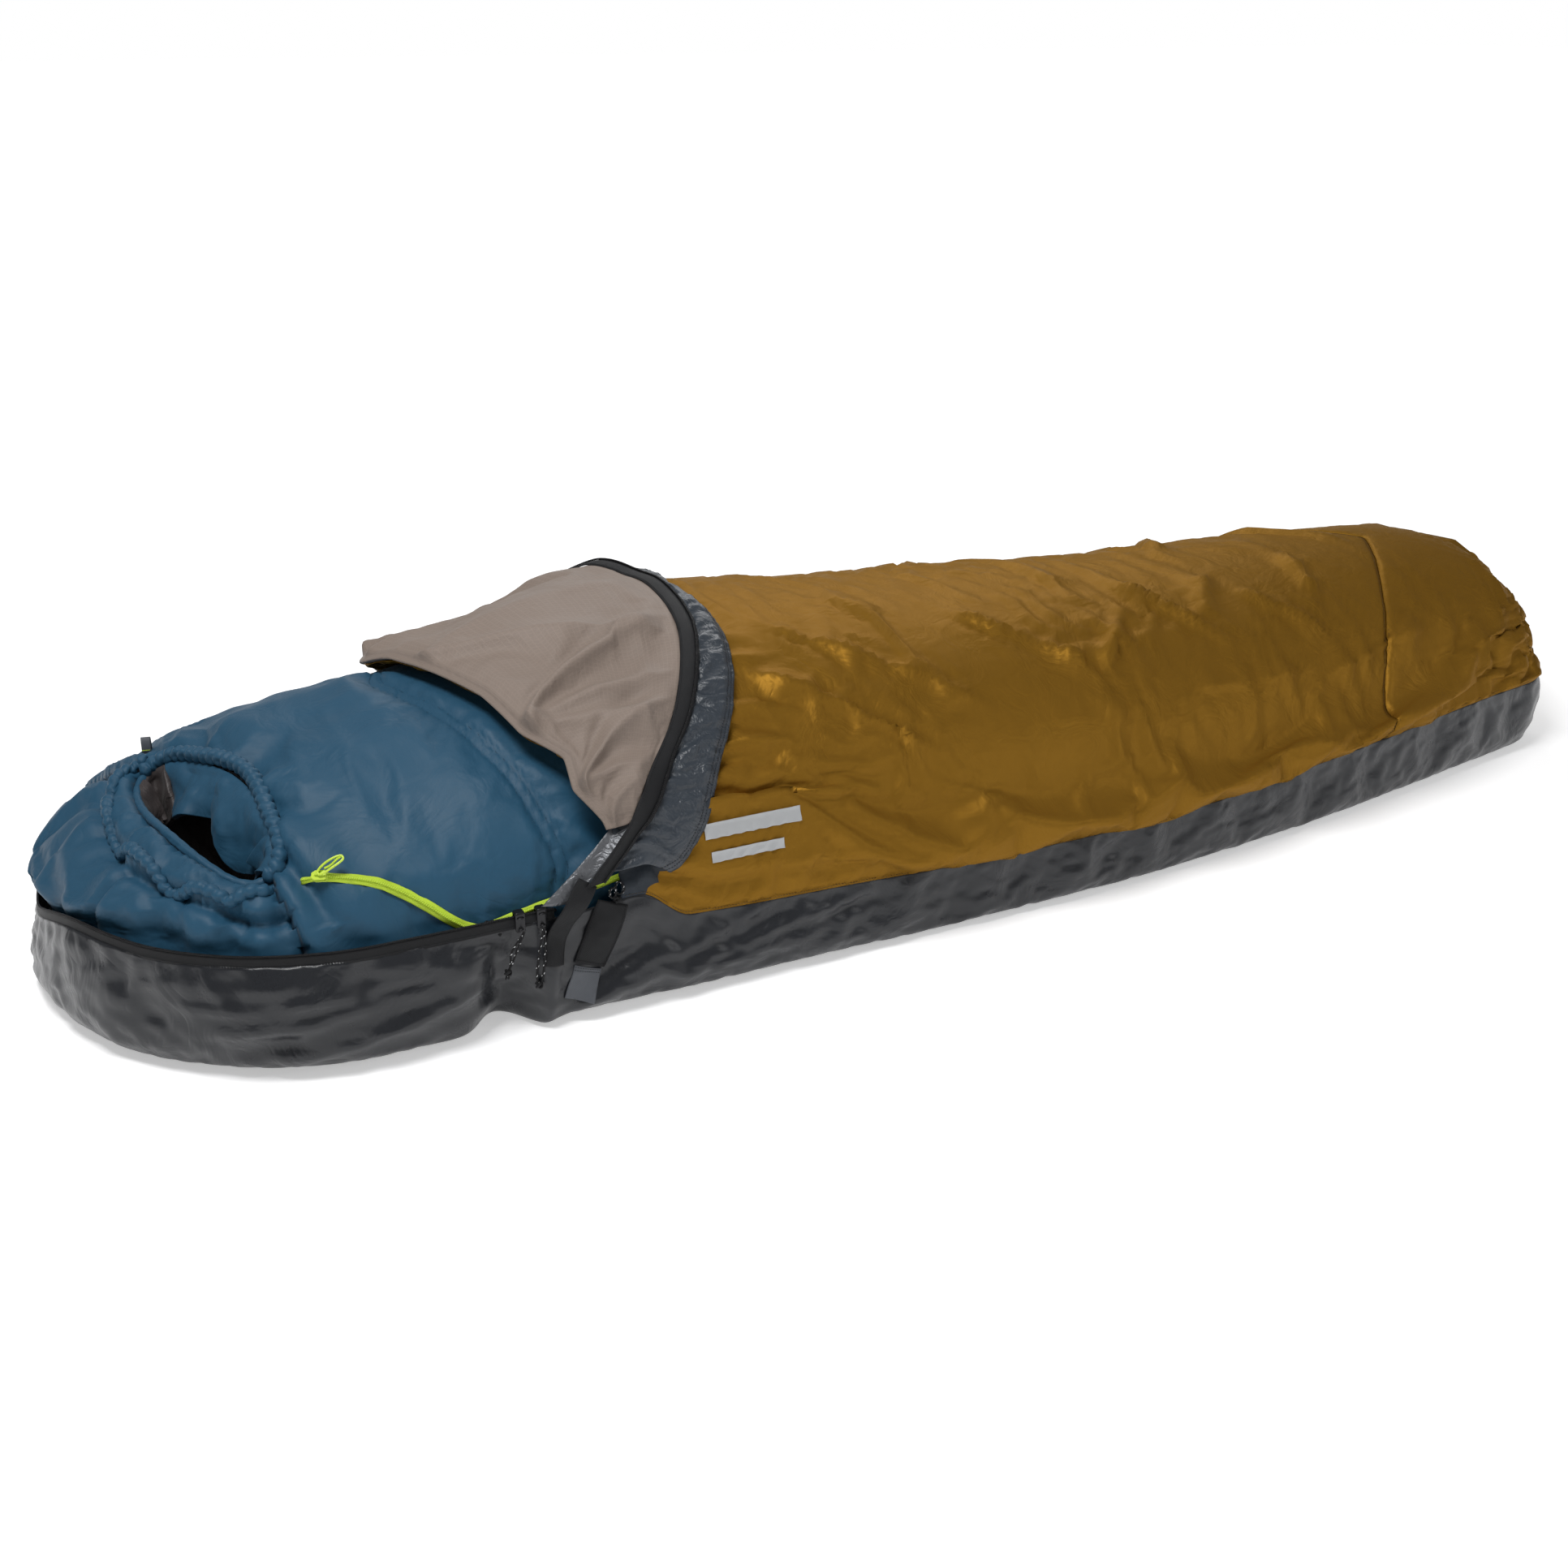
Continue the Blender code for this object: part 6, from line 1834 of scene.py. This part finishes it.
def build_pocket(side, tag):
    out = np.array([0, side, 0.0])

    def sew(name, line):
        return stitches(name, line + out * 0.0009, out, M["thread_dark"], **FINE_STITCH)

    patch, P = wall_patch("pole_pocket_" + tag + "_cloth", top=(-0.5015, 0.1375),
                          low=(-0.532, 0.0675), width=0.038, lift=0.0022, side=side,
                          mat=M["black"], bulge=0.0028, seed=7)
    threads = [sew("pocket_stitches", line) for line in (P[:, 1], P[:, -2], P[-2])]
    place([patch] + threads, "sack", "pole_pocket_" + tag)
    patch, P = wall_patch("pocket_tab_" + tag + "_cloth", top=(-0.5335, 0.0650),
                          low=(-0.5480, 0.0290), width=0.034, lift=0.0018, side=side,
                          mat=M["grey"], bulge=0.0012, seed=9)
    threads = [sew("tab_stitches", P[row]) for row in (1, 3)]
    place([patch] + threads, "sack", "pocket_tab_" + tag)
    # two loops of cord above the pocket: (x offset, z offset, radius)
    cord = "pocket_cord_" + tag
    obs = []
    for k, (dx, dz, radius) in enumerate(((0.0040, 0.0080, 0.0060), (-0.0045, 0.0060, 0.0048))):
        loop = [wall_at(-0.4985 + dx + radius * 0.75 * math.sin(q),
                        0.1400 + dz + radius - radius * 1.25 * math.cos(q),
                        side, 0.0032 + 0.002 * k) for q in np.linspace(0, 2 * np.pi, 26)]
        obs += braided(cord + str(k), spline(loop, 50), 0.0012, 5 + k, tracer_gap=0.004)
    obs.append(knot("pocket_knot_" + tag, wall_at(-0.4975, 0.1415, side, 0.0045), (0.3, 0, 1),
                    0.0017))
    place([join(cord + "_visual", obs)], "sack", cord)


for side, tag in ((-1, "near"), (1, "far")):
    build_pocket(side, tag)


# ------------------------------------------------------------------ reflective bars, near side
def reflective_bar(name, z0, z1, x0, x1, bed):
    """A plain bar of film pressed onto the canopy, smoother than the cloth under it."""
    z, x = np.meshgrid(np.linspace(z0, z1, 18), np.linspace(x0, x1, 120), indexing="ij")
    cloth_y = np.full(x.shape, np.nan)
    for i, j in np.ndindex(x.shape):
        hit = bed.ray_cast(Vector((x[i, j], -0.50, z[i, j])), Vector((0, 1, 0)), 0.4)[0]
        if hit is not None:
            cloth_y[i, j] = hit[1]
    cloth_y = np.where(np.isfinite(cloth_y), cloth_y, np.nanmedian(cloth_y))
    y = cloth_y.copy()
    for _ in range(60):
        y[1:-1, 1:-1] = (y[:-2, 1:-1] + y[2:, 1:-1] + y[1:-1, :-2] + y[1:-1, 2:]) / 4
        y[0], y[-1] = y[1], y[-2]
        y[:, 0], y[:, -1] = y[:, 1], y[:, -2]
        y = np.minimum(y, cloth_y)
    film = cloth_sheet(name + "_film", points(x, y - 0.0010, z), M["reflect"], 0.0003, 0.0)
    place([film], "sack", name)


bpy.context.view_layer.update()
canopy_bed = BVHTree.FromObject(canopy_cloth, bpy.context.evaluated_depsgraph_get())
reflective_bar("reflective_bar_upper", z0=0.182, z1=0.199, x0=-0.385, x1=-0.265, bed=canopy_bed)
reflective_bar("reflective_bar_lower", z0=0.156, z1=0.168, x0=-0.380, x1=-0.290, bed=canopy_bed)


# ------------------------------------------------------------------ drawcord, lock and hang loop
def build_drawcord():
    """Twin cord from the mouth's far end, through a cord lock with its button."""
    start = MOUTH_C - MOUTH_DIR * (MOUTH_A + 0.004)
    heading = np.array([-0.80, 0.60]) / math.hypot(0.8, 0.6)

    def over_bag(distance):
        x, y = start + heading * distance
        return np.array([x, y, float(bag_top(x, y)) + 0.0075])

    first = over_bag(0.004)
    axis = unit(over_bag(0.052) - first)
    side = unit(np.cross(axis, [0, 0, 1.0]))
    obs = []
    for k in (-1, 1):
        strand = [first + axis * 0.048 * q + side * (0.0011 * k + 0.0012 * k * q * q)
                  for q in np.linspace(-0.12, 1.05, 22)]
        strand[-1] = strand[-1] - np.array([0, 0, 0.002])
        obs += braided("drawcord_visual" + str(k), spline(strand, 50), 0.0011, 9 + k)
    obs.append(knot("drawcord_knot", strand[-1] - side * 0.0016, axis, 0.0018))
    place([join("bag_drawcord_visual", obs)], "sack", "bag_drawcord")

    centre = first + axis * 0.012
    up = np.cross(side, axis)
    turns = np.linspace(0, 2 * np.pi, 32, endpoint=False)

    def turned(name, profile):
        """An oval body from (distance along the axis, radius) stations."""
        sections = [[centre + axis * along
                     + (side * math.cos(a) * 1.25 + up * math.sin(a) * 0.95) * radius
                     for a in turns] for along, radius in profile]
        return loft_box(name, sections, M["plastic"])

    barrel = turned("cordlock_barrel", [
        (-0.0080, 0.0030), (-0.0078, 0.0042), (-0.0060, 0.0052), (-0.0020, 0.0056),
        (0.0030, 0.0054), (0.0050, 0.0046), (0.0052, 0.0034)])
    button = turned("cordlock_button", [
        (0.0048, 0.0031), (0.0082, 0.0031), (0.0088, 0.0036), (0.0100, 0.0036),
        (0.0106, 0.0028)])
    place([join("bag_cordlock_visual", [barrel, button])], "cordlock",
          "bag_cordlock")


def build_hang_loop():
    """Webbing loop with a lime bar tack at the far side of the hood."""
    base = on_bag(MOUTH_C[0] - 0.030, MOUTH_C[1] + 0.215)[0]
    across = np.array([0.95, -0.2, 0.0])
    facing = np.array([-0.2, -0.97, 0])
    rows = []
    for a in math.pi * np.linspace(0, 1, 28):
        centre = (base + np.array([0, 0, 0.003 + 0.018 * math.sin(a)])
                  + facing * 0.006 * math.cos(a))
        rows.append([centre + across * u * 0.011 for u in np.linspace(-0.5, 0.5, 9)])
    rows = np.array(rows)
    loop = cloth_sheet("bag_hang_loop_webbing", rows, M["grey"], 0.0010, 0.0)
    tack = stitches("hang_loop_bartack", rows[2] + facing * 0.0008, (-0.2, -0.97, 0.1),
                    M["lime_plastic"], pitch=0.0012, length=0.0010, radius=0.0005)
    place([loop, tack], "sack", "bag_hang_loop")


build_drawcord()
build_hang_loop()

# ------------------------------------------------------------------ ends of the hood tape, facing
# (x, z) stations of the tape's middle line down the wall
TAPE_END = [(-0.532, 0.172), (-0.548, 0.150), (-0.560, 0.132), (-0.567, 0.112), (-0.572, 0.094),
            (-0.575, 0.080)]
FACING_SLOPE = 0.9325         # rise of the facing's line over its run, close to the arch's
FACING_LOW_Z, FACING_RISE = 0.150, 0.095


def tape_end(side):
    """The hood tape's end, laid over the sack's side."""
    centre = spline([(x, 0, z) for x, z in TAPE_END], 40)
    rows = []
    for lane in np.linspace(-0.5, 0.5, 9):
        row = []
        for p, t in zip(centre, tangents(centre)):
            x, _, z = p + np.array([-t[2], 0, t[0]]) * lane * HOOD_TAPE_WIDTH
            lift = (0.0014 + 0.0150 * float(smooth(0.10, 0.150, z))
                    - 0.0075 * float(smooth(0.152, 0.170, z)))
            row.append(wall_at(x, z, side, lift))
        rows.append(row)
    rows = np.array(rows)
    relax(rows[..., 1].T, 10)
    ob = cloth_sheet("hood_tape_end", rows, M["black"], 0.0009, 0.0)
    place([ob], "sack")


def hood_facing(side, high_z):
    """Strip under the flap's lower corner."""
    rows = []
    for t in np.linspace(0, 1, 14):
        row = []
        for z in np.linspace(FACING_LOW_Z, high_z, 30):
            k = (z - FACING_LOW_Z) / FACING_RISE
            x = (HOOD_PIVOT_X + (z - HOOD_PIVOT_Z) / FACING_SLOPE - 0.006
                 - (1 - t) * (0.009 + 0.024 * (1 - k) ** 0.8))
            low, high = float(seam_z(x)), float(crest_z(x))
            s = max(0.0, (z - low) / (high - low)) ** (SECTION_POWER / 2)
            y = float(half_width(x)) * max(0.0, 1 - s ** 2) ** (1 / SECTION_POWER)
            wave = 0.0015 * math.sin(40 * z + 5 * t)
            row.append([x, side * (y + 0.004 + 0.008 * t + wave), z])
        rows.append(row)
    ob = cloth_sheet("hood_facing", np.array(rows), M["silver"], 0.0007, 0.0)
    place([ob], "hood")


for side, facing_top in ((-1, 0.245), (1, 0.190)):
    tape_end(side)
    hood_facing(side, facing_top)


def foot_reach(ob):
    """Draws the foot end out a little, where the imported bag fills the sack."""
    to_world = np.array(ob.matrix_world)
    to_local = np.array(ob.matrix_world.inverted())
    P = coords(ob)
    if not len(P):
        return
    P = P @ to_world[:3, :3].T + to_world[:3, 3]
    if P[:, 0].max() < 0.90:
        return
    P[:, 0] += 0.020 * smooth(0.90, 1.05, P[:, 0])
    set_coords(ob, P @ to_local[:3, :3].T + to_local[:3, 3])


bpy.context.view_layer.update()
for o in list(bpy.data.objects):
    if o.type == "MESH" and o.name not in CAD_NAMES:
        foot_reach(o)


# ------------------------------------------------------------------ floor, light and camera
def build_floor():
    """Pale floor that glows more with distance, so that it fades into the background."""
    bpy.ops.mesh.primitive_plane_add(size=80, location=(0, 0, -0.0006))
    floor = bpy.context.object
    floor.name = "floor"
    mat = bpy.data.materials.new("pale_floor")
    mat.use_nodes = True
    nodes, links = mat.node_tree.nodes, mat.node_tree.links
    shader = nodes["Principled BSDF"]
    for socket, value in (("Base Color", (0.93, 0.93, 0.935, 1)), ("Roughness", 0.7),
                          ("Specular IOR Level", 0.0), ("Emission Color", (1, 1, 1, 1))):
        shader.inputs[socket].default_value = value
    geometry = nodes.new("ShaderNodeNewGeometry")
    distance = nodes.new("ShaderNodeVectorMath")
    distance.operation = "LENGTH"
    glow = nodes.new("ShaderNodeMapRange")
    glow.interpolation_type = "SMOOTHSTEP"
    for socket, value in (("From Min", 1.1), ("From Max", 4.0), ("To Min", 0.42),
                          ("To Max", 0.80)):
        glow.inputs[socket].default_value = value
    links.new(geometry.outputs["Position"], distance.inputs[0])
    links.new(distance.outputs["Value"], glow.inputs["Value"])
    links.new(glow.outputs["Result"], shader.inputs["Emission Strength"])
    floor.data.materials.append(mat)


def build_world(ambient):
    """White where the camera sees it, dimmer as ambient light."""
    world = bpy.data.worlds.new("studio")
    SCENE.world = world
    world.use_nodes = True
    nodes, links = world.node_tree.nodes, world.node_tree.links
    background = nodes["Background"]
    background.inputs[0].default_value = (1, 1, 1, 1)
    path = nodes.new("ShaderNodeLightPath")
    strength = nodes.new("ShaderNodeMath")
    strength.operation = "MULTIPLY_ADD"
    strength.inputs[1].default_value = 1.0 - ambient
    strength.inputs[2].default_value = ambient
    links.new(path.outputs["Is Camera Ray"], strength.inputs[0])
    links.new(strength.outputs[0], background.inputs[1])


def area_light(name, location, target, size, size_y, power):
    light = bpy.data.lights.new(name, "AREA")
    light.shape = "RECTANGLE"
    light.size, light.size_y = size, size_y
    light.energy = power
    light.color = (1, 1, 1)
    ob = bpy.data.objects.new(name, light)
    ob.location = location
    aim = Vector(target) - Vector(location)
    ob.rotation_euler = aim.to_track_quat("-Z", "Y").to_euler()
    SCENE.collection.objects.link(ob)


def build_camera(location, yaw, pitch, lens):
    """Camera that looks along yaw from +X, and down by pitch."""
    camera = bpy.data.cameras.new("camera")
    camera.lens = lens
    camera.sensor_width = 36.0
    ob = bpy.data.objects.new("camera", camera)
    ob.location = location
    aim = Vector((math.cos(yaw) * math.cos(pitch), math.sin(yaw) * math.cos(pitch),
                  -math.sin(pitch)))
    ob.rotation_euler = aim.to_track_quat("-Z", "Y").to_euler()
    SCENE.collection.objects.link(ob)
    SCENE.camera = ob


build_floor()
build_world(ambient=0.24)
area_light("key", location=(-1.2, -0.7, 2.75), target=(-0.1, 0, 0.15), size=1.2, size_y=0.9,
           power=60)
area_light("rim", location=(1.2, 2.4, 1.9), target=(0.1, 0, 0.2), size=2.2, size_y=0.9, power=22)
area_light("side", location=(1.9, -2.2, 1.5), target=(0.3, 0, 0.15), size=1.2, size_y=0.9,
           power=10)
build_camera(location=(-1.09, -1.993, 1.032), yaw=math.radians(64.13),
             pitch=math.radians(23.53), lens=41.03)
SCENE.view_settings.view_transform = "Standard"
